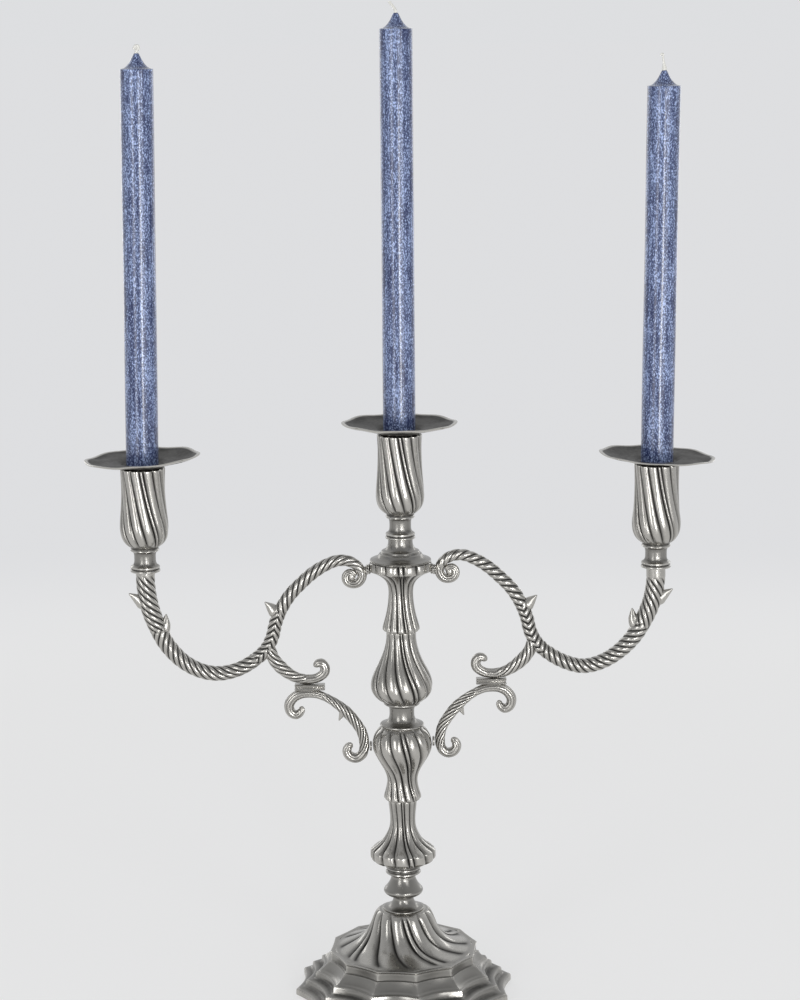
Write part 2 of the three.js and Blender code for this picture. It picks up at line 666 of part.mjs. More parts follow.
function armGeometry(side) {
  const at = armPoint(side);
  const cupDown = ARM_CUP_BELOW_CROWN / ARM_DROP;
  const main = [
    at(1, cupDown), at(1, 0.22), at(0.985, 0.4), at(0.955, 0.56), at(0.905, 0.74), at(0.83, 0.89),
    at(0.75, 0.975), at(0.675, 1), at(0.595, 0.965), at(0.52, 0.885), at(0.465, 0.79), at(0.435, 0.68),
    at(0.418, 0.55), at(0.39, 0.42), at(0.35, 0.3), at(0.3, 0.2), at(0.247, 0.11),
    at(0.19, 0.042), at(0.133, 0.002), at(0.078, 0.012), at(0.037, 0.07), at(0.026, 0.145),
    at(0.05, 0.205), at(0.088, 0.21),
  ];
  const mainRod = ropeRod(main, {
    hand: 1,
    radiusAt: ramp([[0, ROD_R.cup], [0.12, ROD_R.cup], [0.28, ROD_R.bend], [0.5, ROD_R.fork],
      [0.62, ROD_R.fork], [0.8, ROD_R.arch], [0.9, ROD_R.curl], [1, ROD_R.curl]]),
    grooveAt: ramp([[0, 0], [0.04, ROD_GROOVE], [0.88, ROD_GROOVE], [0.92, 0], [1, 0]]),
  });
  const branch = [
    at(0.452, 0.74), at(0.43, 0.87), at(0.385, 0.97), at(0.33, 1.039), at(0.275, 1.059),
    at(0.23, 1.045), at(0.2, 1), at(0.193, 0.95), at(0.21, 0.907), at(0.235, 0.915),
  ].map((point, i) => point.setX(point.x + BRACE_SET[side] * Math.min(i / 4, 1)));
  const branchRod = ropeRod(branch, {
    hand: -1,
    radiusAt: ramp([[0, ROD_R.branchRoot - 0.4], [0.28, ROD_R.branchRoot], [0.5, ROD_R.branch], [0.8, ROD_R.branch - 0.6],
      [1, ROD_R.branch - 1]]),
    grooveAt: ramp([[0, ROD_GROOVE * 0.8], [0.5, ROD_GROOVE * 0.8], [0.6, 0], [1, 0]]),
  });
  const thorns = [
    thorn(at(0.985, 0.42), at(1.064, 0.315)),
    thorn(at(0.935, 0.6), at(0.906, 0.49)),
    thorn(at(0.402, 0.475), at(0.468, 0.363), THORN_R * 1.2),
    thorn(at(0.441, 0.68), at(0.463, 0.92)),
  ];
  const eye = ropeRod([at(0.082, 0.21), at(0.108, 0.18), at(0.108, 0.13), at(0.088, 0.108), at(0.07, 0.125)], {
    hand: 1, radiusAt: ramp([[0, ROD_R.curl - 0.4], [0.4, 2.6], [1, 2]]), grooveAt: () => 0,
  });
  const branchEnd = branch[branch.length - 1];
  const curls = [ball(at(0.08, 0.15), 2.6), ball(branchEnd.clone().setZ(branchEnd.z - 2.2), ROD_R.branch - 0.8)];
  const body = join([mainRod, branchRod, ...thorns, eye, ...curls]);
  const studHole = bar(STUD_R + PIN_GAP, cupZ - STUD_LENGTH / 2 - SEAT_GAP, cupZ + 10)
    .translate(ARM_REACH, 0, 0);
  const pegHole = crossBar(PEG_R + PIN_GAP, DISC_R - 1, DISC_R + ARM_TO_DISC + PEG_DEPTH, discZ);
  return cut(body, studHole, pegHole);
}

// The bracket is drawn between the belly of the lower baluster and the clasp
const padOuter = LOWER_BELLY_R + SEAT_GAP + PAD_THICKNESS + SEAT_GAP;
const claspTopDown = 1.059 + (ROD_R.branch + SEAT_GAP) / ARM_DROP;
const claspTopZ = crownZ - ARM_DROP * claspTopDown;
const claspZ = claspTopZ - CLASP_HEIGHT;
const claspX = THREE.MathUtils.lerp(DISC_R + ARM_TO_DISC, ARM_REACH, 0.265);

function bracketGeometry(side) {
  const foot = padOuter + BRACKET_ROD_R;
  const crown = claspZ - SEAT_GAP - BRACKET_CROWN_R;
  const at = (across, up) => new THREE.Vector3(
    THREE.MathUtils.lerp(foot, claspX + BRACE_SET[side], across),
    0,
    THREE.MathUtils.lerp(lowerBellyZ, crown, up) + ROOT_SET[side],
  );
  const path = [
    at(1.18, 0.66), at(1.27, 0.6), at(1.36, 0.65), at(1.39, 0.785), at(1.31, 0.915), at(1.17, 0.99),
    at(1, 1), at(0.83, 0.97), at(0.66, 0.895), at(0.49, 0.785), at(0.33, 0.65), at(0.17, 0.467),
    at(0.04, 0.257), at(0, 0), at(0.04, -0.152), at(0.15, -0.224), at(0.27, -0.19), at(0.325, -0.09), at(0.28, 0),
  ];
  const rod = ropeRod(path, {
    hand: 1,
    radiusAt: ramp([[0, BRACKET_CURL_R], [0.2, BRACKET_ROD_R], [0.33, BRACKET_CROWN_R], [0.4, BRACKET_CROWN_R],
      [0.54, BRACKET_ROD_R + 0.5], [0.8, BRACKET_ROD_R], [0.92, BRACKET_CURL_R], [1, BRACKET_CURL_R - 0.5]]),
    grooveAt: ramp([[0, 0], [0.3, 0], [0.38, ROD_GROOVE * 0.8], [0.76, ROD_GROOVE * 0.8], [0.84, 0], [1, 0]]),
  });
  const curls = [ball(at(1.16, 0.68), BRACKET_CURL_R), ball(at(0.27, -0.02), BRACKET_CURL_R - 0.5)];
  const spur = thorn(at(0.4, 0.68), at(0.47, 0.48), THORN_R * 0.75);
  const pegHole = crossBar(PEG_R + PIN_GAP, padOuter - 2, padOuter + BRACKET_ROD_R + 1.5, padZ(side));
  return cut(join([rod, ...curls, spur]), pegHole);
}

const padZ = (side) => lowerBellyZ + ROOT_SET[side];

// Clasp: the small plate that the arm and the bracket are both soldered to
function claspGeometry() {
  const shape = new THREE.Shape();
  const [half, h] = [CLASP_LENGTH / 2, CLASP_HEIGHT];
  const outline = [[-half, h * 0.18], [-half + 1.2, 0], [half - 1.2, 0], [half, h * 0.18],
    [half - 0.9, h * 0.5], [half, h * 0.82], [half - 1.2, h], [-half + 1.2, h],
    [-half, h * 0.82], [-half + 0.9, h * 0.5]];
  shape.setFromPoints(outline.map(([x, z]) => new THREE.Vector2(x, z)));
  const settings = { depth: CLASP_WIDTH, bevelEnabled: false };
  return new THREE.ExtrudeGeometry(shape, settings).rotateX(Math.PI / 2).translate(0, CLASP_WIDTH / 2, 0);
}

// Pegs that fasten an arm to the disc and a bracket to the baluster
const discPegGeometry = () => crossBar(
  PEG_R, DISC_R - PEG_DEPTH + SEAT_GAP, DISC_R + ARM_TO_DISC + PEG_DEPTH - SEAT_GAP, discZ,
);

function padPegGeometry(side) {
  const inner = LOWER_BELLY_R + SEAT_GAP;
  const pin = crossBar(PEG_R, inner - PEG_DEPTH, padOuter + BRACKET_ROD_R + 1.2, padZ(side));
  const pad = crossBar(PAD_R, inner, inner + PAD_THICKNESS, padZ(side), 12);
  return join([pin, pad]);
}

// Assembly
const candelabra = new THREE.Group();

function add(name, geometry, material, { z = 0, x = 0, group = candelabra } = {}) {
  const mesh = new THREE.Mesh(geometry, material);
  mesh.name = name;
  mesh.position.set(x, 0, z);
  group.add(mesh);
  return mesh;
}

const padHoles = ['left', 'right'].map((side) => {
  const direction = side === 'left' ? -1 : 1;
  const hole = crossBar(PEG_R + PIN_GAP, LOWER_BELLY_R - PEG_DEPTH - SEAT_GAP, LOWER_BELLY_R + 2, padZ(side));
  return hole.scale(direction, direction, 1).translate(0, 0, -lowerBalusterZ);
});

add('foot_plinth', plinthGeometry(), pewter('plinth'));
add('foot_dome', domeGeometry(), pewter('dome'));
add('foot_spool', spoolGeometry(), pewter('spool'), { z: spoolZ });
add('lower_trumpet', lowerTrumpetGeometry(), pewter('lower_trumpet'), { z: lowerTrumpetZ });
add('lower_baluster', cut(lowerBalusterGeometry(), ...padHoles), pewter('lower_baluster'), { z: lowerBalusterZ });
add('waist_collar', collarGeometry(), pewter('collar'), { z: collarZ });
add('upper_baluster', upperBalusterGeometry(), pewter('upper_baluster'), { z: upperBalusterZ });
add('upper_trumpet', upperTrumpetGeometry(), pewter('upper_trumpet'), { z: upperTrumpetZ });
add('pedestal', pedestalGeometry(), pewter('pedestal'), { z: pedestalZ });

const rodTopZ = centreSocketZ + TIE_ROD_INTO_SOCKET;
const washerZ = domeCeiling - WASHER_THICKNESS;
const nutZ = washerZ - NUT_HEIGHT;
add('tie_rod', bar(TIE_ROD_R, nutZ - ROD_PAST_NUT, rodTopZ), steel());
add('foot_washer', washerGeometry(), steel(), { z: washerZ });
add('foot_nut', nutGeometry(), steel(), { z: nutZ });

// One light: socket, pan, candle and wick standing on a given height
function addLight(name, x, z, holeR, holeDepth) {
  const seatZ = z + SOCKET_HEIGHT;
  const candleZ = seatZ - LINER_DEPTH + LINER_FLOOR + SEAT_GAP;
  const length = CANDLE_LENGTH[name];
  add(`socket_${name}`, socketGeometry(holeR, holeDepth), pewter('socket'), { x, z });
  add(`pan_${name}`, panGeometry(PAN_RISE[name], PAN_LEAN[name]), pewter('pan'), { x, z: seatZ });
  add(`candle_${name}`, candleGeometry(length, CANDLE_LEAN[name]), wax(), { x, z: candleZ });
  add(`wick_${name}`, wickGeometry(length, CANDLE_LEAN[name]), cotton(), { x, z: candleZ });
}

addLight('centre', 0, centreSocketZ, boreR, TIE_ROD_INTO_SOCKET + 2 * SEAT_GAP);

for (const side of ['left', 'right']) {
  const half = new THREE.Group();
  if (side === 'left') half.rotation.z = Math.PI;
  candelabra.add(half);
  const socketZ = cupZ + SEAT_GAP;
  add(`arm_${side}`, armGeometry(side), pewter('arm'), { group: half });
  add(`bracket_${side}`, bracketGeometry(side), pewter('bracket'), { group: half });
  const [bracedX, bracedZ] = [claspX + BRACE_SET[side], claspZ + ROOT_SET[side]];
  add(`clasp_${side}`, claspGeometry(), pewter('clasp'), { x: bracedX, z: bracedZ, group: half });
  add(`disc_peg_${side}`, discPegGeometry(), pewter('peg'), { group: half });
  add(`pad_peg_${side}`, padPegGeometry(side), pewter('peg'), { group: half });
  const studZ = cupZ - STUD_LENGTH / 2;
  add(`stud_${side}`, bar(STUD_R, 0, STUD_LENGTH, 12), steel(), { x: ARM_REACH, z: studZ, group: half });
  const direction = side === 'left' ? -1 : 1;
  addLight(side, direction * ARM_REACH, socketZ, STUD_R + PIN_GAP, STUD_LENGTH / 2 + SEAT_GAP);
}

export default candelabra;
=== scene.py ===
"""Three-light pewter candelabra with blue dinner candles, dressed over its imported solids.

Every piece is modelled on its own node's box, so it stands where the solids put it. The
drawings below are in millimetres and are stretched to the box of the node they stand for.
"""

import math

import bmesh
import bpy
import numpy as np
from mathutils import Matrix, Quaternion, Vector


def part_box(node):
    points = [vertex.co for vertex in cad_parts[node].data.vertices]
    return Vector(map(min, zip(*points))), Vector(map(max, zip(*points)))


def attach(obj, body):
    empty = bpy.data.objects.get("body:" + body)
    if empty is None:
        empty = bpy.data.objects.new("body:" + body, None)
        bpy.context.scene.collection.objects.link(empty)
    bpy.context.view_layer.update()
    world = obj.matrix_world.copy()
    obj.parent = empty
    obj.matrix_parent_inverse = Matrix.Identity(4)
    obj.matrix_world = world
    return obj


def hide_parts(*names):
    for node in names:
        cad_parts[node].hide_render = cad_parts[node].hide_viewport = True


bl_info = {
    "name": "Pewter Candelabra",
    "version": (1, 0, 0),
    "blender": (4, 5, 0),
    "location": "View3D > Sidebar > Candelabra",
    "description": "Models and finishes a three-light candelabra over its packed solids",
    "category": "Object",
}

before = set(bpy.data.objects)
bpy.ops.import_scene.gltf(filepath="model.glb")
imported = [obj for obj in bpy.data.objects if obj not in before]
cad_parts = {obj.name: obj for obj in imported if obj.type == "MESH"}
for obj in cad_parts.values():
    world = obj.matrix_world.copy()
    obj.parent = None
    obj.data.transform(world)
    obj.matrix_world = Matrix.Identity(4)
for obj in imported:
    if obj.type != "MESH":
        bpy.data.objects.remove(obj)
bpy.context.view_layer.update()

MM = 0.001
TINY = 1e-6
FULL_TURN = 2 * math.pi
LIGHTS = ("centre", "left", "right")
SIDES = ("left", "right")


# Drawings: strokes of (radius, height) or (radius, height, flute depth). Each stroke is a smooth
# line that goes on from the last point of the stroke before, and the corner there is eased.

SPOOL = [
    [(0, 0), (14, 0)],
    [(14.2, 0.5), (14, 1)],
    [(11.4, 1.7), (9.2, 3.2), (7.9, 5), (7.2, 6.8), (7.2, 8.4), (7.8, 9.7)],
    [(9.6, 9.9)],
    [(11.7, 10.7), (13.3, 12.1), (13.8, 13.5), (13.4, 14.7)],
    [(11.4, 17), (9.6, 19.8), (8.6, 22.2), (8.4, 24)],
    [(0, 24)],
]

LOWER_TRUMPET = [
    [(0, 0), (8.4, 0)],
    [(8.8, 0.9), (11, 1.5), (12.2, 2.5), (12, 3.4)],
    [(11.3, 3.9)],
    [(11, 4.6), (11.2, 5.2)],
    [(11.9, 5.7), (11.8, 6.4)],
    [(11.2, 7), (11.2, 8.6), (11.6, 9.6)],
    [(15.5, 10, 0.4), (19.6, 10.9, 1.2), (21.4, 12, 1.8)],
    [(22.4, 13.2, 1.9), (22.6, 16, 1.9), (22.4, 18.6, 1.9)],
    [(20.6, 20.2, 1.9), (17.2, 22.6, 1.9), (14, 25.6, 1.8), (11.4, 29.6, 1.6), (9.4, 34.6, 1.4),
     (8.8, 40, 1.2), (9.2, 47, 1.1), (10.1, 55, 1.1)],
    [(0, 55)],
]

LOWER_BALUSTER = [
    [(0, 0), (11.7, 0, 1.5)],
    [(12.7, 0.9, 1.7), (12.8, 2.6, 1.7), (12, 5.6, 1.7), (10.9, 10.4, 1.6), (10.7, 15.4, 1.6),
     (12.2, 20.6, 1.7), (15, 25.6, 1.8), (18, 30.8, 1.9), (20.2, 36, 1.9), (20.6, 40.4, 1.9),
     (19.6, 45.2, 1.8), (17.4, 49.2, 1.4), (14.6, 51.6, 0.5)],
    [(14, 52.5), (0, 52.5)],
]

COLLAR = [
    [(0, 0), (15, 0)],
    [(15.3, 0.7), (15, 1.4)],
    [(12.9, 2), (11.6, 2.7)],
    [(9.9, 3.9), (8.9, 6), (8.6, 8.6), (8.7, 11.6), (9.2, 14)],
    [(11.3, 14.7), (12.4, 15.3), (12.5, 16.2), (12, 17)],
    [(0, 17)],
]

UPPER_BALUSTER = [
    [(0, 0), (12, 0, 0.3)],
    [(14.8, 1, 1), (18.2, 3.8, 1.7), (20.6, 7.8, 1.9), (21.2, 11.6, 1.9), (20.5, 16, 1.9),
     (18.4, 21.4, 1.9), (15.4, 27.4, 1.8), (12.8, 33.4, 1.6), (11, 39.6, 1.4), (10.2, 45, 1.2),
     (10.3, 49.5, 1.2)],
    [(0, 49.5)],
]

UPPER_TRUMPET = [
    [(0, 0), (11.6, 0, 1.5)],
    [(12.7, 0.9, 1.7), (12.8, 2.4, 1.7), (12, 5.6, 1.6), (10.6, 10.6, 1.5), (9.3, 17, 1.3),
     (8.6, 23.6, 1.2), (8.6, 28.6, 1.2), (9.4, 32.6, 1.4), (11.2, 35.6, 1.6), (13.6, 37.9, 1.8),
     (16.4, 39.8, 1.8), (19.6, 41.4, 1.9)],
    [(21.3, 42.1, 1.9), (21.8, 43.6, 1.9), (21.7, 45.6, 1.9), (21.4, 47.7, 1.9)],
    [(20.6, 48.1, 0.6), (20.7, 48.5)],
    [(21.1, 48.9), (21, 49.3)],
    [(0, 49.3)],
]

PEDESTAL = [
    [(0, 0), (20.8, 0)],
    [(21, 0.4), (20.5, 0.8)],
    [(18.4, 1.3), (16.2, 2.6), (14.9, 4)],
    [(14.6, 4.5), (13.8, 4.7)],
    [(13.3, 5.4), (13.2, 6.2)],
    [(12.6, 6.7), (11.7, 6.9)],
    [(10.4, 7.8), (9.3, 9.2), (8.6, 11), (8.4, 13), (8.4, 15)],
    [(0, 15)],
]

SOCKET = [
    [(0, 0), (10, 0)],
    [(10.2, 0.7), (9.9, 1.5)],
    [(9.3, 1.8), (9.3, 2.3)],
    [(9.9, 2.7), (9.9, 3.6), (9.2, 4.1)],
    [(7.9, 5.1), (7.4, 6.8), (7.3, 9.4), (7.4, 12), (7.9, 13.6)],
    [(9.1, 14.1), (9.8, 14.8), (9.7, 15.6), (9, 16.1)],
    [(9.4, 16.8), (11.6, 18.3, 0.6), (13.9, 20.6, 1.2), (15.6, 24, 1.5), (16.4, 28.4, 1.6), (16.4, 33, 1.6),
     (15.8, 39, 1.6), (15.2, 46, 1.5), (14.9, 53, 1.5), (14.9, 61, 1.5), (15.3, 70.7, 1.5)],
    [(15.1, 71, 1.4), (12.6, 71)],
    [(12.35, 70.6), (12.3, 44)],
    [(0, 44)],
]

# The dome of the foot rests with a thin flange in the plinth's top
DOME = [
    [(41, 28.6), (47.9, 28.6)],
    [(47.9, 30.1)],
    [(46.4, 30.5, 0.3), (43.6, 31.2, 1.5), (40.2, 32.3, 2.3), (35.8, 33.9, 2.6), (31.4, 36.3, 2.7),
     (27.2, 40.2, 2.6), (24.2, 44.8, 2.4), (22.4, 49, 2.2), (20.8, 53.2, 1.9), (19.2, 56.2, 1.3),
     (17.2, 58, 0.5), (15.4, 58.6)],
    [(3.4, 58.6)],
    [(3.4, 53.6)],
    [(12.8, 53.6)],
    [(16.6, 44), (18.4, 39.6), (26.5, 31.4), (34, 29.6), (41, 28.6)],
]

# The plinth all round its section: out under the rim, up over the steps and back inside
PLINTH = [
    (70.4, 0), (75.6, 0), (76, 0.5), (75.9, 3.9), (75.2, 4.9), (74, 5.3), (71.6, 5.7), (70.2, 6.4),
    (69.4, 7.4), (69.2, 9.4), (68.6, 10.4), (67.4, 10.8), (64.6, 11.1), (63, 11.8), (62.3, 12.8),
    (62.2, 14.8), (61.7, 15.8), (60.6, 16.2), (59.8, 16.5), (59.2, 17), (57.6, 17.9), (55.4, 19.8),
    (53.6, 21.9), (52.5, 23.3), (51.7, 23.5), (51.2, 23.9), (51.1, 24.6), (51.1, 26.6), (51.1, 28.6),
    (50.7, 29), (51, 29.3), (51.6, 29.5), (51.7, 30.1), (51.3, 30.4), (48.7, 30.4), (48.2, 30.1),
    (48.2, 28.5), (47.9, 28.3), (43.7, 28.3), (43.7, 25.7), (47, 24), (57.4, 13), (70.4, 3.4),
]
FOOT_SIDES = 12
FOOT_CORNER = 9.1
SIDE_CUTS = 13
# (height, how far a side curves in at its middle)
SIDE_CURVE = [
    (0, 3.3), (16.2, 3.3), (20.2, 2.3), (23.8, 1.6), (29, 0.6), (30.4, 0.35),
]

# Each drip pan from under its liner, out along the underside, over the rim and back in.
# Heights over PAN_FLAT are stretched to the rim's height above the socket's mouth.
PAN = [
    [(0, -27), (11.9, -27)],
    [(11.95, 0.3)],
    [(13.4, 0.3)],
    [(14.4, 0.9), (16.4, 2.3), (18.8, 3.4), (22.6, 4.2), (28, 4.9), (33, 5.7), (36.6, 6.6), (38.2, 7.2)],
    [(38.9, 7.6), (39, 8.2), (38.5, 8.6), (37.6, 8.5)],
    [(36, 7.9), (32, 6.8), (26, 5.8), (21, 5.1), (16.6, 4.2), (13.4, 2.6), (11.4, 1.9)],
    [(11.25, 1.6), (11.25, -26)],
    [(0, -26)],
]
PAN_RADIUS = 39
PAN_FLAT = 1
PAN_RISE = 8.6
PAN_LIP = 37.2
LINER_DEPTH = 27
# The upper side lies within one radius and above one height over the socket's mouth
PAN_INSIDE = 36
PAN_FLOOR = 1.5

# Candle tips: (radius, height under the tip). The shaft below is straight.
CANDLE_CONE = [
    (8.6, -9.6), (6.9, -8.4), (5.2, -6.6), (3.9, -4.6), (2.8, -2.5), (2, -0.9), (1.5, -0.1),
]
CANDLE_RADIUS = 11
CANDLE_SHOULDER = 10.1

# Flutes: in each quarter turn one narrow rib, in the middle of the front, and three broad ones
NARROW_RIB = 10.0
BROAD_RIBS = 3
NARROW_STEPS = 6
BROAD_STEPS = 18
TWIST_EASE = 1.25
FULL_GROOVE = 1.3

# How far a near hollow, a wide one, a groove and a rib count towards the tarnish and painted shade, and
# towards the rub and painted highlight
HOLLOW_WEIGHTS = (3.0, 1.2, 0.75, 0)
CREST_WEIGHTS = (-4.0, 0, -0.5, 0.55)

# Scroll arms, on a grid: across runs from the disc to the socket's axis, down from the
# crown of the arch to the bottom of the bend
CROWN_ABOVE_DISC = 5.4
DISC_THICKNESS = 7.8
ARM_TO_DISC = 0.8
BEND_FROM = 0.6
ROOT_SET = {"left": -1.6, "right": 1.6}
BEND_SET = {"left": 2.0, "right": -1.6}
BRACE_SET = {"left": 0.3, "right": -1.2}
ARM_MAIN = [
    (1, 0.105), (1, 0.22), (0.985, 0.4), (0.955, 0.56), (0.905, 0.74), (0.83, 0.89), (0.75, 0.975),
    (0.675, 1), (0.595, 0.965), (0.52, 0.885), (0.465, 0.79), (0.435, 0.68), (0.418, 0.55), (0.39, 0.42),
    (0.35, 0.3), (0.3, 0.2), (0.247, 0.11), (0.19, 0.042), (0.133, 0.002), (0.078, 0.012), (0.037, 0.07),
    (0.026, 0.145), (0.046, 0.203), (0.078, 0.208), (0.097, 0.178), (0.098, 0.135), (0.083, 0.108),
    (0.066, 0.118), (0.062, 0.15),
]
ARM_BRANCH = [
    (0.452, 0.74), (0.43, 0.87), (0.385, 0.97), (0.33, 1.039), (0.275, 1.059), (0.23, 1.045), (0.2, 1),
    (0.197, 0.95), (0.212, 0.917), (0.232, 0.925), (0.232, 0.955),
]
ARM_THORNS = [
    ((0.995, 0.42), (1.03, 0.36), (1.078, 0.298)),
    ((0.935, 0.66), (0.91, 0.575), (0.902, 0.475)),
    ((0.404, 0.485), (0.43, 0.43), (0.466, 0.363)),
]
ARM_EYE = [(0.055, 0.155), (0.073, 0.149), (0.091, 0.155)]
ARM_KEEL = [(0.45, 0.7), (0.456, 0.78), (0.462, 0.875)]

# Brackets, on a grid from the pad on the belly to the clasp
BRACKET_FOOT = 11.1
BRACKET_CROWN_R = 2.9
SEAM = 0.3
BRACKET_PATH = [
    (1.2, 0.74), (1.165, 0.7), (1.19, 0.64), (1.27, 0.6), (1.36, 0.65), (1.39, 0.785), (1.31, 0.915),
    (1.17, 0.99), (1, 1), (0.83, 0.97), (0.66, 0.895), (0.49, 0.785), (0.33, 0.65), (0.17, 0.467),
    (0.04, 0.257), (0, 0), (0.04, -0.152), (0.15, -0.224), (0.27, -0.19), (0.325, -0.09), (0.28, 0),
    (0.21, -0.01),
]
BRACKET_THORN = ((0.37, 0.7), (0.41, 0.6), (0.47, 0.48))


def size_property(name, description, default):
    return bpy.props.FloatProperty(
        name=name, description=description, default=default, subtype="DISTANCE", unit="LENGTH")


def colour_property(name, description, default):
    return bpy.props.FloatVectorProperty(
        name=name, description=description, default=default, subtype="COLOR", size=3, min=0, max=1)


class CandelabraSizes(bpy.types.PropertyGroup):
    """Sizes of the dressed candelabra that its solids leave open"""

    groove: bpy.props.FloatProperty(
        name="Flute groove", description="How deep the grooves are, as a share of the drawings",
        default=1.0, min=0.2, max=1.5, subtype="FACTOR")
    rope_spacing: size_property("Rope spacing", "Distance between two ridges along a rope-twist rod", 5.4 * MM)
    rope_depth: size_property("Rope depth", "Depth of the grooves between the ridges of a rod", 0.95 * MM)
    rope_strands: bpy.props.IntProperty(
        name="Rope strands", description="Strands of the long twists round a rod", default=8, min=3, max=14)
    rim_wave: size_property("Rim wave", "Rise and fall of a drip pan's rim", 0.55 * MM)
    rim_waves: bpy.props.IntProperty(
        name="Rim waves", description="Waves round a drip pan's rim", default=8, min=4, max=16)
    arm_drop: size_property(
        "Arm drop", "Height from the crown of an arm's arch to the bottom of its bend", 78.2 * MM)


class CandelabraColours(bpy.types.PropertyGroup):
    """Colours of the candelabra's finishes"""

    # The pewter's own tone; ribs and rims get a 1.75 times brighter copy of it, for rub and a painted
    # highlight
    pewter: colour_property("Pewter", "Rubbed pewter on the raised parts", (0.29, 0.282, 0.264))
    # Dark tone of real tarnish, also used as painted shade in hollows, on upward treads and inside the pans
    patina_and_shade: colour_property("Patina", "Dark tarnish left in the grooves", (0.018, 0.017, 0.015))
    steel: colour_property("Steel", "Tie rod, nut, washer and studs", (0.42, 0.43, 0.45))
    wax_deep: colour_property("Deep wax", "Dark blue of the candles", (0.006, 0.016, 0.085))
    wax_frost: colour_property("Frosted wax", "Pale bloom and streaks on the candles", (0.42, 0.53, 0.83))
    cotton: colour_property("Cotton", "Unburnt wicks", (0.80, 0.79, 0.74))
    floor: colour_property("Floor", "Pale studio floor", (0.88, 0.88, 0.88))


def sizes():
    return bpy.context.scene.candelabra_sizes


def colours():
    return bpy.context.scene.candelabra_colours


def rope():
    """Spacing, depth and strands of the rope twist"""
    return sizes().rope_spacing, sizes().rope_depth, sizes().rope_strands


def shaded(tone, share):
    return tuple(min(1, part * share) for part in tone)


def maths(operation, swapped=False):
    """An operator of Value that adds a Math node"""
    def act(self, other):
        operands = (other, self) if swapped else (self, other)
        return self.recipe.node("Math", dict(enumerate(operands)), operation=operation)
    return act


class Value:
    """A number that varies over a surface, written in Python arithmetic"""

    def __init__(self, recipe, socket):
        self.recipe = recipe
        self.socket = socket

    __add__ = __radd__ = maths("ADD")
    __mul__ = __rmul__ = maths("MULTIPLY")
    __sub__ = maths("SUBTRACT")
    __rsub__ = maths("SUBTRACT", swapped=True)

    def step(self, low, high):
        """0 below low, 1 above high and a smooth rise between them"""
        return self.recipe.node("MapRange", {"Value": self, "From Min": low, "From Max": high},
                                interpolation_type="SMOOTHSTEP")

    def clamp(self):
        return self.recipe.node("Clamp", {"Value": self})


class Recipe:
    """A material's node tree, written as expressions"""

    def __init__(self, name):
        self.material = bpy.data.materials.new(name)
        self.material.use_nodes = True
        self.tree = self.material.node_tree
        self.tree.nodes.clear()

    def node(self, kind, inputs=None, output=0, **settings):
        """Adds a node, sets it up, joins its inputs and gives back one of its outputs"""
        made = self.tree.nodes.new(f"ShaderNode{kind}")
        for name, value in settings.items():
            setattr(made, name, value)
        for name, value in (inputs or {}).items():
            socket = made.inputs[name]
            if isinstance(value, Value):
                self.tree.links.new(value.socket, socket)
            else:
                socket.default_value = value
        return Value(self, made.outputs[output])

    def place(self, centre=(0, 0, 0), scale=(1, 1, 1)):
        """The piece's own coordinates, measured from a centre and stretched by a scale"""
        coordinates = self.node("TexCoord", output="Object")
        moved = self.node("VectorMath", {0: coordinates, 1: centre}, operation="SUBTRACT")
        return self.node("VectorMath", {0: moved, 1: scale}, operation="MULTIPLY")

    def noise(self, where, scale, detail, roughness=0.5):
        return self.node("TexNoise", {
            "Vector": where, "Scale": scale, "Detail": detail, "Roughness": roughness})

    def mix(self, factor, *tones):
        """One colour where the factor is 0, the other where it is 1"""
        first, second = (tone if isinstance(tone, Value) else (*tone, 1.0) for tone in tones)
        return self.node("Mix", {0: factor, 6: first, 7: second}, 2, data_type="RGBA")

    def attribute(self, name):
        return self.node("Attribute", output="Fac", attribute_name=name)

    def surface(self, tone, roughness, relief, strength, distance, **settings):
        """Ends the tree in a Principled surface with a bump, distance in millimetres"""
        inputs = {"Base Color": tone, "Roughness": roughness}
        inputs |= {name.replace("_", " "): value for name, value in settings.items()}
        inputs["Normal"] = self.node("Bump", {
            "Height": relief, "Strength": strength, "Distance": distance * MM})
        return self.end(self.node("BsdfPrincipled", inputs))

    def end(self, shader):
        output = self.tree.nodes.new("ShaderNodeOutputMaterial")
        self.tree.links.new(shader.socket, output.inputs["Surface"])
        return self.material


def finish(name):
    """Wraps a recipe, which then runs the first time that its finish is asked for"""
    def wrap(build):
        def material(*key):
            full = "_".join((name, *key))
            return bpy.data.materials.get(full) or build(Recipe(full), *key)
        return material
    return wrap


@finish("satin_pewter")
def pewter(make):
    """Cast pewter: ribs rubbed bright and given a painted highlight, grooves and hollows dark with tarnish and
    painted shade
    """
    where = make.place()
    cloud = make.noise(where, 55, 3)
    mottle = make.noise(where, 420, 4, 0.6)
    grain = make.noise(where, 2600, 2)
    # Painted shade: the hollow measure darkens creases and recesses where shade falls, on top of the real
    # tarnish in the grooves
    patina_and_shade_mask = (make.attribute("hollow") * (0.85 + mottle * 0.4) + (cloud - 0.5) * 0.14).step(0.08, 0.85)
    # Painted highlight: the crest measure brightens ribs and rims, on top of the real rub on the raised parts
    rub_and_highlight = (make.attribute("crest") + (mottle - 0.5) * 0.3).step(0.1, 0.8)
    # The copy of the pewter 1.75 times as bright is the painted highlight
    metal = make.mix(rub_and_highlight * (1 - patina_and_shade_mask), colours().pewter, shaded(colours().pewter, 1.75))
    tone = make.mix(patina_and_shade_mask, metal, colours().patina_and_shade)
    rough = (0.29 + patina_and_shade_mask * 0.3 + (mottle - 0.5) * 0.08 - rub_and_highlight * 0.04).clamp()
    return make.surface(tone, rough, mottle * 0.7 + grain * 0.3, 0.05, 0.25,
                        Metallic=(1 - patina_and_shade_mask * 0.3).clamp())


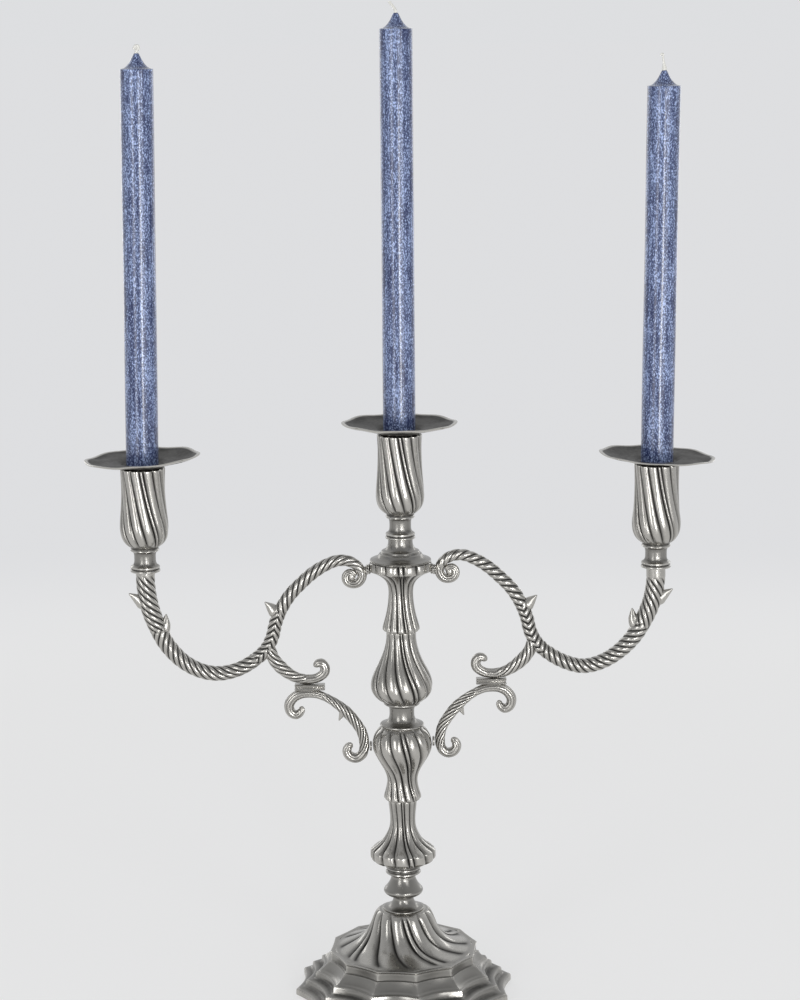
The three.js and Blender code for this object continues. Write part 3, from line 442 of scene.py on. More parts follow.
@finish("plain_steel")
def steel(make):
    """Bright steel hardware, seen only from below"""
    mottle = make.noise(make.place(), 500, 3)
    thread = make.noise(make.place(scale=(1, 1, 6)), 240, 2)
    tone = make.mix(mottle, colours().steel, shaded(colours().steel, 0.6))
    return make.surface(tone, 0.3 + mottle * 0.25, thread, 0.2, 0.2, Metallic=1.0)


@finish("blue_wax")
def wax(make, light):
    """Rustic blue wax with a frosty bloom in fine flecks and long streaks"""
    node = f"candle_{light}"
    base = (*middle_of(node)[:2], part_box(node)[0].z)

    def grain(stretch, scale, detail, roughness=0.6):
        return make.noise(make.place(base, (1, 1, stretch)), scale, detail, roughness)

    flecks, streaks, drift = grain(0.5, 1450, 2), grain(0.04, 620, 3, 0.65), grain(0.3, 120, 3)
    bloom = (drift - 0.5) * 1.3 + (streaks - 0.5) * 1.2
    frost = (bloom + (flecks - 0.5) * 4.8 + 0.12).step(0.05, 0.9)
    deep, pale = colours().wax_deep, colours().wax_frost
    middle = tuple(a * 0.8 + b * 0.2 for a, b in zip(deep, pale))
    tone = make.mix(frost, make.mix((bloom + 0.5).step(0.1, 1.0), deep, middle), pale)
    return make.surface(tone, 0.3 + frost * 0.15, flecks * 0.6 + streaks * 0.4, 0.3, 0.3,
                        Coat_Weight=1.0, Coat_Roughness=0.22, Specular_IOR_Level=0.2)


@finish("cotton_wick")
def cotton(make):
    """Braided cotton, a little waxy"""
    fibres = make.noise(make.place(), 2400, 3)
    # Painted shade: the braid's hollows are darkened, mixed with random fibre grain
    braid_shade_and_grain = (make.attribute("hollow") * 0.8 + (fibres - 0.5) * 0.5).clamp()
    tone = make.mix(braid_shade_and_grain, colours().cotton, shaded(colours().cotton, 0.62))
    return make.surface(tone, 0.75, fibres, 0.5, 0.2)


def deselect():
    if bpy.context.object and bpy.context.object.mode != "OBJECT":
        leave_edit()
    bpy.ops.object.select_all(action="DESELECT")


def activate(piece):
    deselect()
    piece.select_set(True)
    bpy.context.view_layer.objects.active = piece


def edit_all():
    """Opens the active piece with all of it selected"""
    bpy.ops.object.mode_set(mode="EDIT")
    bpy.ops.mesh.select_all(action="SELECT")


def leave_edit():
    bpy.ops.object.mode_set(mode="OBJECT")


def primitive(kind, name, **settings):
    """Adds a primitive under a piece's name and opens it with all of it selected"""
    deselect()
    getattr(bpy.ops.mesh, f"primitive_{kind}_add")(**settings)
    piece = bpy.context.object
    piece.name = piece.data.name = name
    edit_all()
    return piece


def pick(piece, kind, wanted):
    """Selects the verts or edges that pass a test, and nothing else, while a piece is open"""
    mesh = bmesh.from_edit_mesh(piece.data)
    for item in (*mesh.verts, *mesh.edges, *mesh.faces):
        item.select = False
    for item in getattr(mesh, kind):
        item.select = wanted(item)
    if kind == "verts":
        mesh.select_flush(True)
    bmesh.update_edit_mesh(piece.data)


def weld(threshold):
    """Merges the open piece's doubles and turns its faces outwards"""
    bpy.ops.mesh.select_all(action="SELECT")
    bpy.ops.mesh.remove_doubles(threshold=threshold)
    bpy.ops.mesh.normals_make_consistent(inside=False)


def points_of(piece, kind="co"):
    """Every point's place, or its normal"""
    out = np.empty(len(piece.data.vertices) * 3)
    piece.data.vertices.foreach_get(kind, out)
    return out.reshape(-1, 3)


def polar(piece):
    """Distance from the upright axis through the origin, angle round it and height of every point"""
    x, y, z = points_of(piece).T
    return np.hypot(x, y), np.arctan2(y, x), z


def move_points(piece, x, y, z):
    """Puts every point in its new place and turns the faces outwards"""
    piece.data.vertices.foreach_set("co", np.column_stack([x, y, z]).ravel())
    piece.data.update()
    activate(piece)
    edit_all()
    bpy.ops.mesh.normals_make_consistent(inside=False)
    leave_edit()


def move_round(piece, reach, angle, height, centre=(0, 0)):
    """Puts every point where its distance from an upright axis, angle and height say"""
    move_points(piece, centre[0] + reach * np.cos(angle), centre[1] + reach * np.sin(angle), height)


def bevelled(piece, width):
    """Rounds a piece's sharp edges"""
    activate(piece)
    bevel = piece.modifiers.new("edges", "BEVEL")
    bevel.width = width
    bevel.segments = 3
    bevel.limit_method = "ANGLE"
    bpy.ops.object.modifier_apply(modifier=bevel.name)


def middle_of(node):
    """The middle of a node's box"""
    return np.mean(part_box(node), axis=0)


def run_along(line):
    """The distance from a line's start to each of its points"""
    return np.concatenate([[0], np.cumsum(np.linalg.norm(np.diff(line, axis=0), axis=1))])


def between(u, start, end, a, b):
    """The point at u on the way from a, at start, to b, at end"""
    return ((end - u) * a + (u - start) * b) / (end - start)


def smooth_line(points, step):
    """A smooth line through the points, cut into even steps"""
    points = np.asarray(points, float)
    if len(points) == 2:
        return points
    ends = np.vstack([2 * points[0] - points[1], points, 2 * points[-1] - points[-2]])
    gaps = np.maximum(np.linalg.norm(np.diff(ends[:, :2], axis=0), axis=1), TINY) ** 0.5
    knots = np.concatenate([[0], np.cumsum(gaps)])
    out = [points[0]]
    for i in range(1, len(ends) - 2):
        p, t = ends[i - 1:i + 3], knots[i - 1:i + 3]
        count = max(1, round(np.linalg.norm(p[2][:2] - p[1][:2]) / step))
        for u in np.linspace(t[1], t[2], count + 1)[1:]:
            a = [between(u, t[k], t[k + 1], p[k], p[k + 1]) for k in range(3)]
            b = [between(u, t[k], t[k + 2], a[k], a[k + 1]) for k in range(2)]
            out.append(between(u, t[1], t[2], *b))
    return np.array(out)


def drawn(strokes, step=1.0, ease=0.22, most=0.35):
    """Rows of (radius, height, flute depth) along the strokes, with eased corners"""
    lines, start = [], []
    for stroke in strokes:
        stroke = start + [(*point, 0)[:3] for point in stroke]
        lines.append(smooth_line(stroke, step))
        start = stroke[-1:]
    rows = [lines[0][0]]
    for line, following in zip(lines, lines[1:] + [None]):
        body = list(line[1:])
        if following is not None:
            corner = body.pop()
            back, ahead = (body or rows)[-1] - corner, following[1] - corner
            for toward in (back, ahead):
                share = min(ease / max(np.linalg.norm(toward[:2]), TINY), most)
                body.append(corner + toward * share)
        rows += body
    return np.array(rows)


def fitted(strokes, node, step=1.0):
    """A drawing stretched to its node's box: rows in metres, and the axis it stands on"""
    low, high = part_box(node)
    rows = drawn(strokes, step)
    bottom = rows[:, 1].min()
    up = (high.z - low.z) / (rows[:, 1].max() - bottom)
    rows[:, 0] *= (high.x - low.x) / 2 / rows[:, 0].max()
    rows[:, 1] = low.z + (rows[:, 1] - bottom) * up
    rows[:, 2] *= MM
    return rows, middle_of(node)[:2]


def turned(name, rows, columns, centre=(0, 0)):
    """Spins a drawing round a vertical axis. Rows are (radius, height) in metres."""
    piece = primitive("plane", name, size=MM)
    bpy.ops.mesh.merge(type="CENTER")
    bpy.ops.transform.translate(value=(rows[0][0], 0, rows[0][1]))
    for a, b in zip(rows, rows[1:]):
        bpy.ops.mesh.extrude_vertices_move(TRANSFORM_OT_translate={"value": (b[0] - a[0], 0, b[1] - a[1])})
    bpy.ops.mesh.select_all(action="SELECT")
    bpy.ops.mesh.spin(steps=columns, angle=FULL_TURN, center=(0, 0, 0), axis=(0, 0, 1))
    weld(0.002 * MM)
    bpy.ops.transform.translate(value=(*centre, 0))
    leave_edit()
    return piece


def flute_columns():
    """Angle and groove depth of every column round a fluted piece, front first"""
    broad = (90 - NARROW_RIB) / BROAD_RIBS
    narrow = np.linspace(-1, 1, NARROW_STEPS + 1)[:-1]
    wide = np.sin(np.linspace(-1, 1, BROAD_STEPS + 1)[:-1] * math.pi / 2)
    angles, depths = [], []
    for start in range(0, 360, 90):
        angles += list(start + narrow * NARROW_RIB / 2)
        depths += list(0.1 + 0.9 * narrow ** 2)
        for rib in range(BROAD_RIBS):
            middle = start + NARROW_RIB / 2 + broad * (rib + 0.5)
            angles += list(middle + wide * broad / 2)
            depths += list(np.abs(wide) ** 2.8)
    return np.array(angles), np.array(depths)


def fluted(name, rows, twist, centre):
    """Spins a drawing and swirls flutes into it. Rows are (radius, height, depth) in metres."""
    angles, depths = flute_columns()
    piece = turned(name, rows[:, :2], len(angles))
    radius, angle, height = polar(piece)
    row = np.array([
        np.argmin(np.abs(r - rows[:, 0]) + np.abs(z - rows[:, 1])) for r, z in zip(radius, height)])
    column = np.round(angle / FULL_TURN * len(angles)).astype(int) % len(angles)
    groove, depth = depths[column], rows[row, 2]
    run = run_along(rows[:, :2])
    first, last = run[np.flatnonzero(rows[:, 2] > 0)[[0, -1]]]
    left = np.clip((last - run) / (last - first), 0, 1)[row]
    turn = np.radians(angles[column] + twist * left ** TWIST_EASE - 90)
    move_round(piece, np.maximum(radius - depth * groove * sizes().groove, 0), turn, height, centre)
    ribbed = np.minimum(depth / (FULL_GROOVE * MM), 1)
    store(piece, "sunk", ribbed * groove)
    store(piece, "proud", ribbed * (1 - groove))
    return piece


def store(piece, name, values):
    """Keeps a number for every point, for the wear and the materials to read"""
    layer = piece.data.attributes.get(name) or piece.data.attributes.new(name, "FLOAT", "POINT")
    layer.data.foreach_set("value", np.broadcast_to(values, len(piece.data.vertices)).astype(float))


def stored(piece, name):
    values = np.zeros(len(piece.data.vertices))
    if name in piece.data.attributes:
        piece.data.attributes[name].data.foreach_get("value", values)
    return values


def read_shade_and_wear(piece, reach=3):
    """Stores how hollow or proud each point lies, for the tarnish and painted shade in the hollows and the rub
    and painted highlight on the crests
    """
    mesh = piece.data
    points, normals = points_of(piece), points_of(piece, "normal")
    edges = np.empty(len(mesh.edges) * 2, int)
    mesh.edges.foreach_get("vertices", edges)
    a, b = edges.reshape(-1, 2).T
    count = np.bincount(np.concatenate([a, b]), minlength=len(points)).astype(float)

    def gathered(at_a, at_b):
        """The mean, at each point, of what its edges bring"""
        out = np.zeros((len(points), *at_a.shape[1:]))
        np.add.at(out, a, at_a)
        np.add.at(out, b, at_b)
        return out / (count[:, None] if out.ndim > 1 else count)

    def softened(values, times):
        for _ in range(times):
            values = 0.5 * values + 0.5 * gathered(values[b], values[a])
        return values

    spans = np.linalg.norm(points[a] - points[b], axis=1)
    span = np.maximum(gathered(spans, spans), TINY)
    lean = np.einsum("ij,ij->i", gathered(points[b], points[a]) - points, normals)
    soft = softened(np.clip(lean / span, -0.5, 0.5), reach)
    wide = softened(soft, reach * 3)
    measures = (soft, wide, stored(piece, "sunk"), stored(piece, "proud"))
    for name, weights in (("hollow", HOLLOW_WEIGHTS), ("crest", CREST_WEIGHTS)):
        store(piece, name, np.clip(sum(m * weight for m, weight in zip(measures, weights)), 0, 1))


def finished(piece, material, body, slot, *nodes, angle=50):
    """Smooths a piece, gives it its finish, ties it to its body and hides the solids of its nodes"""
    activate(piece)
    bpy.ops.object.shade_smooth_by_angle(angle=math.radians(angle))
    piece.data.materials.clear()
    piece.data.materials.append(material)
    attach(piece, body)
    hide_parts(*nodes)
    piece.select_set(False)


def cast(piece, node, reach=3, body="frame", angle=50, tarnish_and_shade=0):
    """Finishes a pewter piece. Its last argument is painted shade, added to the darkening of its hollows."""
    read_shade_and_wear(piece, reach)
    store(piece, "hollow", np.clip(stored(piece, "hollow") + tarnish_and_shade, 0, 1))
    finished(piece, pewter(), body, "pewter", node, angle=angle)


def cast_fluted(node, strokes, twist, step=1.0):
    """Models and finishes a fluted casting in its node's box"""
    rows, centre = fitted(strokes, node, step)
    cast(fluted(f"{node}_casting", rows, twist, centre), node)


def ridges(phase, sharpness=0.8):
    """1 on a ridge and 0 in a groove"""
    return np.abs(np.cos(phase / 2)) ** sharpness


def rope_height(angle, along, spacing, strands, hand):
    """Ridges that wind round a rod"""
    return ridges(strands * angle - hand * FULL_TURN * along / spacing, 0.7)


def chevron_height(angle, along, spacing, strands):
    """Ridges that climb both ways from the front of a rod and meet at its back"""
    from_front = np.abs((angle + math.pi / 2 + math.pi) % FULL_TURN - math.pi)
    return ridges(strands * from_front - FULL_TURN * along / spacing)


def scroll_height(angle, strands=9):
    """Fine ridges that run along a rod"""
    return ridges(strands * angle)


def blend(share, start, width):
    """0 before start and 1 from width past it"""
    return np.clip((share - start) / width, 0, 1)


def stops(values, at):
    """Values between (fraction, value) stops"""
    marks, levels = np.array(values, float).T
    return np.interp(at, marks, levels)


def rod(name, path, radius, around, step, relief=None, flat=1, ends=(1, 1)):
    """A bar cut across into many rings and laid along a path in the XZ plane

    radius gives (fraction, radius) stops in millimetres, around and step how many points
    a ring has and how far apart the rings are.
    relief(angle, along, share) gives how deep the surface is cut. ends says how round each
    end is, from 0 for a flat one to 1 for a ball.
    """
    line = smooth_line(path, 0.25 * MM)
    run = run_along(line)
    length = run[-1]
    rings = max(8, round(length / (step * MM)))
    piece = primitive("cylinder", name, vertices=around, radius=1, depth=1, end_fill_type="NGON")
    done, most = 1, 40
    while done < rings:
        cuts = min(most, max(1, math.ceil(rings / done) - 1))
        pick(piece, "edges", lambda edge: abs(edge.verts[0].co.z - edge.verts[1].co.z) > 1e-5)
        bpy.ops.mesh.subdivide(number_cuts=cuts)
        done *= cuts + 1
    leave_edit()
    _, angle, height = polar(piece)
    share = np.clip(height + 0.5, 0, 1)
    along = share * length
    size = stops([(at, r * MM) for at, r in radius], share)
    for distance, roundness in ((along, ends[0]), (length - along, ends[1])):
        inward = 1 - np.clip(distance / np.maximum(size, TINY), 0, 1)
        ball = np.sqrt(np.maximum(1 - inward ** 2, 0.03 ** 2))
        size = size * (1 - roundness + roundness * ball)
    cut = relief(angle, along, share) if relief else np.zeros_like(size)
    size = size - cut
    x, z = (np.interp(along, run, part) for part in line.T)
    tx, tz = (np.interp(along, run, part) for part in np.gradient(line, run, axis=0).T)
    across = size * np.cos(angle) / np.hypot(tx, tz)
    move_points(piece, x + tz * across, flat * size * np.sin(angle), z - tx * across)
    store(piece, "sunk", cut / MM)
    store(piece, "proud", 1 - cut / max(cut.max(), MM))
    return piece


def joined(name, *parts):
    activate(parts[0])
    for part in parts[1:]:
        part.select_set(True)
    bpy.ops.object.join()
    piece = bpy.context.object
    piece.name = piece.data.name = name
    return piece


def fit_side(piece, side):
    """Turns a left piece half round the stem, as the left casting is fitted"""
    if side == "left":
        activate(piece)
        edit_all()
        bpy.ops.transform.rotate(value=math.pi, orient_axis="Z", center_override=(0, 0, 0))
        leave_edit()


def offset(x, z):
    """Places a point of a drawing in millimetres from one place"""
    return lambda across, up: (x + across * MM, z + up * MM)


def arm_grid(side):
    """Places a point of the arm's drawing: across from the disc, down from the crown"""
    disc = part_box("upper_trumpet")[1]
    inner = disc.x + ARM_TO_DISC * MM
    reach = middle_of("socket_right")[0]
    crown = disc.z - DISC_THICKNESS / 2 * MM + CROWN_ABOVE_DISC * MM

    def at(across, down):
        outer = min(max((across - BEND_FROM) / (1 - BEND_FROM), 0), 1)
        x = inner + (reach - inner) * across + BEND_SET[side] * MM * math.sin(math.pi * outer)
        root = ROOT_SET[side] * MM * (1 - outer ** 2)
        return (x, crown - sizes().arm_drop * down + root)

    return at


def braced(side, points, over=4):
    """Shifts a branch, gradually over its first points, to where its clasp stands"""
    return [(x + BRACE_SET[side] * MM * min(i / over, 1), z) for i, (x, z) in enumerate(points)]


def bracket_grid(side):
    """Places a point of the bracket's drawing between the belly and the clasp"""
    pad_low, pad_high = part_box(f"pad_peg_{side}")
    foot = (pad_low.x if side == "right" else -pad_high.x) + BRACKET_FOOT * MM
    clasp = abs(middle_of(f"clasp_{side}")[0])
    bottom = middle_of(f"pad_peg_{side}")[2]
    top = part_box(f"clasp_{side}")[0].z - (SEAM + BRACKET_CROWN_R) * MM
    return lambda across, up: (foot + (clasp - foot) * across, bottom + (top - bottom) * up)


class FootOperator(bpy.types.Operator):
    """Models the stepped twelve-sided plinth and its fluted dome"""

    bl_idname = "candelabra.foot"
    bl_label = "Foot"

    def execute(self, context):
        cast_fluted("foot_dome", DOME, 38, 1.1)
        self.plinth()
        return {"FINISHED"}

    def plinth(self):
        """The section drawn round twelve sides, each curved in towards its middle"""
        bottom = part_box("foot_plinth")[0].z
        piece = primitive("circle", "foot_plinth_casting", vertices=FOOT_SIDES, radius=PLINTH[0][0] * MM,
                          fill_type="NOTHING")
        bpy.ops.transform.translate(value=(0, 0, bottom + PLINTH[0][1] * MM))
        for (r0, z0), (r1, z1) in zip(PLINTH, PLINTH[1:] + PLINTH[:1]):
            bpy.ops.mesh.extrude_region_move(TRANSFORM_OT_translate={"value": (0, 0, (z1 - z0) * MM)})
            bpy.ops.transform.resize(value=(r1 / r0, r1 / r0, 1), center_override=(0, 0, bottom + z1 * MM))
        weld(0.01 * MM)
        pick(piece, "edges", lambda edge: edge.calc_length() > 15 * MM
             and abs(edge.verts[0].co.z - edge.verts[1].co.z) < 0.01 * MM)
        bpy.ops.mesh.subdivide(number_cuts=SIDE_CUTS)
        leave_edit()
        reach, around, height = polar(piece)
        side = FULL_TURN / FOOT_SIDES
        along = (around % side) / side * 2 - 1
        inward = stops(SIDE_CURVE, (height - bottom) / MM) * MM * (1 - along ** 2)
        move_round(piece, reach - inward, around + math.radians(FOOT_CORNER), height)
        # Painted shade: the faces of the plinth that look upward are darkened
        treads = np.clip(points_of(piece, "normal")[:, 2] - 0.6, 0, 1)
        cast(piece, "foot_plinth", 1, angle=30, tarnish_and_shade=treads * 0.8)


class StemOperator(bpy.types.Operator):
    """Models the turned and fluted castings of the stem"""

    bl_idname = "candelabra.stem"
    bl_label = "Stem"

    def execute(self, context):
        for node, strokes in (("foot_spool", SPOOL), ("waist_collar", COLLAR), ("pedestal", PEDESTAL)):
            rows, centre = fitted(strokes, node, 0.6)
            cast(turned(f"{node}_turning", rows[:, :2], 128, centre), node, 2)
        cast_fluted("lower_trumpet", LOWER_TRUMPET, 22)
        cast_fluted("lower_baluster", LOWER_BALUSTER, 46)
        cast_fluted("upper_baluster", UPPER_BALUSTER, 42)
        cast_fluted("upper_trumpet", UPPER_TRUMPET, 20)
        return {"FINISHED"}


class SocketsOperator(bpy.types.Operator):
    """Models the three fluted sockets"""

    bl_idname = "candelabra.sockets"
    bl_label = "Sockets"

    def execute(self, context):
        for light in LIGHTS:
            cast_fluted(f"socket_{light}", SOCKET, 50)
        return {"FINISHED"}


class PansOperator(bpy.types.Operator):
    """Models the loose drip pans with their softly waved rims"""

    bl_idname = "candelabra.pans"
    bl_label = "Drip pans"

    rises = {"centre": 8.6, "left": 7.8, "right": 6.4}
    leans = {"centre": 0.0, "left": 2.2, "right": -2.4}

    def execute(self, context):
        for number, light in enumerate(LIGHTS):
            node = f"pan_{light}"
            low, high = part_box(node)
            rows = drawn(PAN, 0.8)[:, :2]
            raised = rows[:, 1] > PAN_FLAT
            stretch = (self.rises[light] - PAN_FLAT) / (PAN_RISE - PAN_FLAT)
            rows[raised, 1] = PAN_FLAT + (rows[raised, 1] - PAN_FLAT) * stretch
            rows *= MM * np.array([(high.x - low.x) / 2 / (PAN_RADIUS * MM), 1])
            piece = turned(f"{node}_spinning", rows, 192)
            reach, angle, height = polar(piece)
            outward = blend(reach, PAN_RADIUS / 2 * MM, PAN_RADIUS / 2 * MM)
            outward = outward ** 2 * (3 - 2 * outward)
            waves, deep = sizes().rim_waves, sizes().rim_wave
            wave = np.cos(waves * angle) + 0.45 * np.cos(3 * angle + 1.3 + number) \
                + 0.3 * np.cos(5 * angle + 0.4 + 2 * number)
            tilt = self.leans[light] * reach * np.cos(angle) / PAN_RADIUS
            height = height + outward * (deep * (wave - 0.6) / 1.6 + tilt)
            waved = reach * (1 - outward * (1 - np.cos(waves * angle)) * deep * 0.8 / (PAN_RADIUS * MM))
            move_round(piece, waved, angle, height + low.z + LINER_DEPTH * MM, middle_of(node))
            # Painted highlight: the rim counts as a rib, so it is brightened
            store(piece, "proud", (reach > PAN_LIP * MM) * 1.5)
            # Painted shade: the inside of the dish is darkened, standing in for a dark reflection
            inside = (waved < PAN_INSIDE * MM) & (height > PAN_FLOOR * MM)
            cast(piece, node, 2, node, tarnish_and_shade=inside * 0.6)
        return {"FINISHED"}


class CandlesOperator(bpy.types.Operator):
    """Models the dinner candles"""

    bl_idname = "candelabra.candles"
    bl_label = "Candles"

    leans = {"centre": 0.0, "left": 3.6, "right": 2.2}
    trimmed = {"centre": 0.0, "left": 0.0, "right": 3.8}

    def execute(self, context):
        rng = np.random.default_rng(7)
        for light in LIGHTS:
            low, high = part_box(f"candle_{light}")
            high.z -= self.trimmed[light] * MM
            length = (high.z - low.z) / MM
            edge = length - CANDLE_SHOULDER
            shaft = [(CANDLE_RADIUS, z) for z in np.linspace(1.2, edge - 1.3, 96)]
            rows = [(0, 0), (10.2, 0), (10.9, 0.4), *shaft, (CANDLE_RADIUS, edge - 0.4), (10.9, edge - 0.1),
                    (10.5, edge), *[(r, length + z) for r, z in CANDLE_CONE], (0, length - 0.1)]
            piece = turned(f"candle_{light}_wax", np.array(rows) * MM, 96)
            reach, angle, height = polar(piece)
            height = height / MM
            uneven = sum(
                rng.uniform(-0.05, 0.05) * np.cos(height / rng.uniform(6, 40) + k * angle + rng.uniform(0, 6))
                for k in range(1, 5))
            keep = 1 + (uneven - 0.1) / CANDLE_RADIUS * (height > LINER_DEPTH)
            lean = self.leans[light] * np.maximum(height - LINER_DEPTH, 0) / (length - LINER_DEPTH)
            centre = (low.x + (CANDLE_RADIUS + lean) * MM, (low.y + high.y) / 2)
            move_round(piece, reach * keep, angle, height * MM + low.z, centre)
            finished(piece, wax(light), f"candle_{light}", "wax", f"candle_{light}", angle=38)
        return {"FINISHED"}


class WicksOperator(bpy.types.Operator):
    """Models the curled cotton wicks"""

    bl_idname = "candelabra.wicks"
    bl_label = "Wicks"

    paths = {
        "centre": [(0, -3), (0, 0), (-0.3, 1.6), (-1.5, 3.8), (-3.0, 5.6), (-4.1, 6.8), (-4.6, 6.2)],
        "left": [(0, -3), (0.1, 0), (0.3, 1.5), (1.3, 3), (0.9, 4.4), (-0.5, 4.2), (-1.7, 3), (-2.4, 2.7)],
        "right": [(0, -3), (0, 0), (-0.2, 2.4), (-0.6, 5.4), (-1, 8.2), (-0.9, 9.9), (-2, 10.2), (-2.1, 9.2)],
    }
    thicknesses = {
        "centre": [(0, 1.2), (0.3, 1.2), (0.7, 0.95), (1, 1.1)],
        "left": [(0, 1.2), (0.3, 1.3), (0.8, 1.35), (1, 0.9)],
        "right": [(0, 1.5), (0.28, 1.7), (0.42, 1.1), (0.6, 0.75), (0.82, 0.8), (1, 1.05)],
    }

    def execute(self, context):
        for light in LIGHTS:
            low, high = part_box(f"candle_{light}")
            at = offset(low.x + (CANDLE_RADIUS + CandlesOperator.leans[light]) * MM,
                        high.z - CandlesOperator.trimmed[light] * MM)
            piece = rod(f"wick_{light}_cotton", [at(*p) for p in self.paths[light]],
                        self.thicknesses[light], 24, 0.18, self.braid)
            x, y, z = points_of(piece).T
            move_points(piece, x, y + (low.y + high.y) / 2, z)
            read_shade_and_wear(piece, 1)
            finished(piece, cotton(), f"candle_{light}", "wick", f"wick_{light}")
        return {"FINISHED"}

    def braid(self, angle, along, share):
        """Three strands wound each way"""
        turn = FULL_TURN * along / (1.5 * MM)
        return 0.16 * MM * (2 - sum(np.abs(np.cos((3 * angle + hand * turn) / 2)) for hand in (-1, 1)))


class ArmsOperator(bpy.types.Operator):
    """Models the two scroll arms with their rope twist, thorns and curls"""

    bl_idname = "candelabra.arms"
    bl_label = "Arms"

    main = [(0, 6.5), (0.11, 6.4), (0.26, 5.35), (0.46, 4.9), (0.58, 4.75), (0.74, 4.5), (0.84, 3.9),
            (0.88, 3.4), (0.95, 2.9), (1, 2.3)]
    branch = [(0, 4.0), (0.28, 4.6), (0.5, 3.6), (0.68, 3.2), (0.82, 3.5), (0.92, 3.3), (1, 2.6)]
    thorn = [(0, 4.9), (0.35, 4.6), (0.6, 3.3), (0.85, 1.5), (1, 0.4)]
    keel = [(0, 3.4), (0.6, 3.3), (1, 2.4)]
    eye = [(0, 2.6), (0.5, 3.4), (1, 2.6)]

    def execute(self, context):
        for side in SIDES:
            grid = arm_grid(side)

            def path(drawing):
                return [grid(*point) for point in drawing]

            parts = [
                rod("arm_main", path(ARM_MAIN), self.main, 80, 0.55, self.twist(side), ends=(0, 1)),
                rod("arm_branch", braced(side, path(ARM_BRANCH)), self.branch, 64, 0.5, self.branch_twist),
                rod("arm_keel", path(ARM_KEEL), self.keel, 32, 0.5),
                rod("arm_eye", path(ARM_EYE), self.eye, 32, 0.4, flat=0.7),
                *(rod("arm_thorn", path(thorn), self.thorn, 24, 0.4, flat=0.75, ends=(1, 0.6))
                  for thorn in ARM_THORNS),
            ]
            piece = joined(f"arm_{side}_casting", *parts)
            fit_side(piece, side)
            cast(piece, f"arm_{side}", 2, angle=60)
        return {"FINISHED"}

    def twist(self, side):
        """The long twists of the top, bend and arch, with ridges fanned out on the post"""
        spacing, depth, strands = rope()
        bend, post, arch = (5, 4, 4) if side == "right" else (7, 6, 6)
        narrower = 0.9 if side == "right" else 1
        neck = 0.022 if side == "right" else 0.006

        def relief(angle, along, share):
            height = rope_height(angle, along, spacing * 0.95, strands, -1)
            for start, pattern in (
                (0.15, rope_height(angle, along, spacing * narrower, bend, 1)),
                (0.46, chevron_height(angle, along, spacing * 0.85, post)),
                (0.6, rope_height(angle, along, spacing * 1.06, arch, -1)),
                (0.88, scroll_height(angle)),
            ):
                into = blend(share, start, 0.015)
                height = height * (1 - into) + pattern * into
            cut = stops([(0, 0), (neck, 0), (neck + 0.012, 1), (0.78, 1), (0.88, 0.45), (1, 0.45)], share)
            return depth * cut * (1 - height)

        return relief

    def branch_twist(self, angle, along, share):
        """Long ridges as far as the clasp, and fine ones round the curl"""
        spacing, depth, strands = rope()
        into = blend(share, 0.56, 0.06)
        twist = rope_height(angle, along, spacing * 1.05, strands, -1)
        height = twist * (1 - into) + scroll_height(angle) * into
        return depth * stops([(0, 0.9), (0.5, 0.8), (0.62, 0.4), (1, 0.4)], share) * (1 - height)


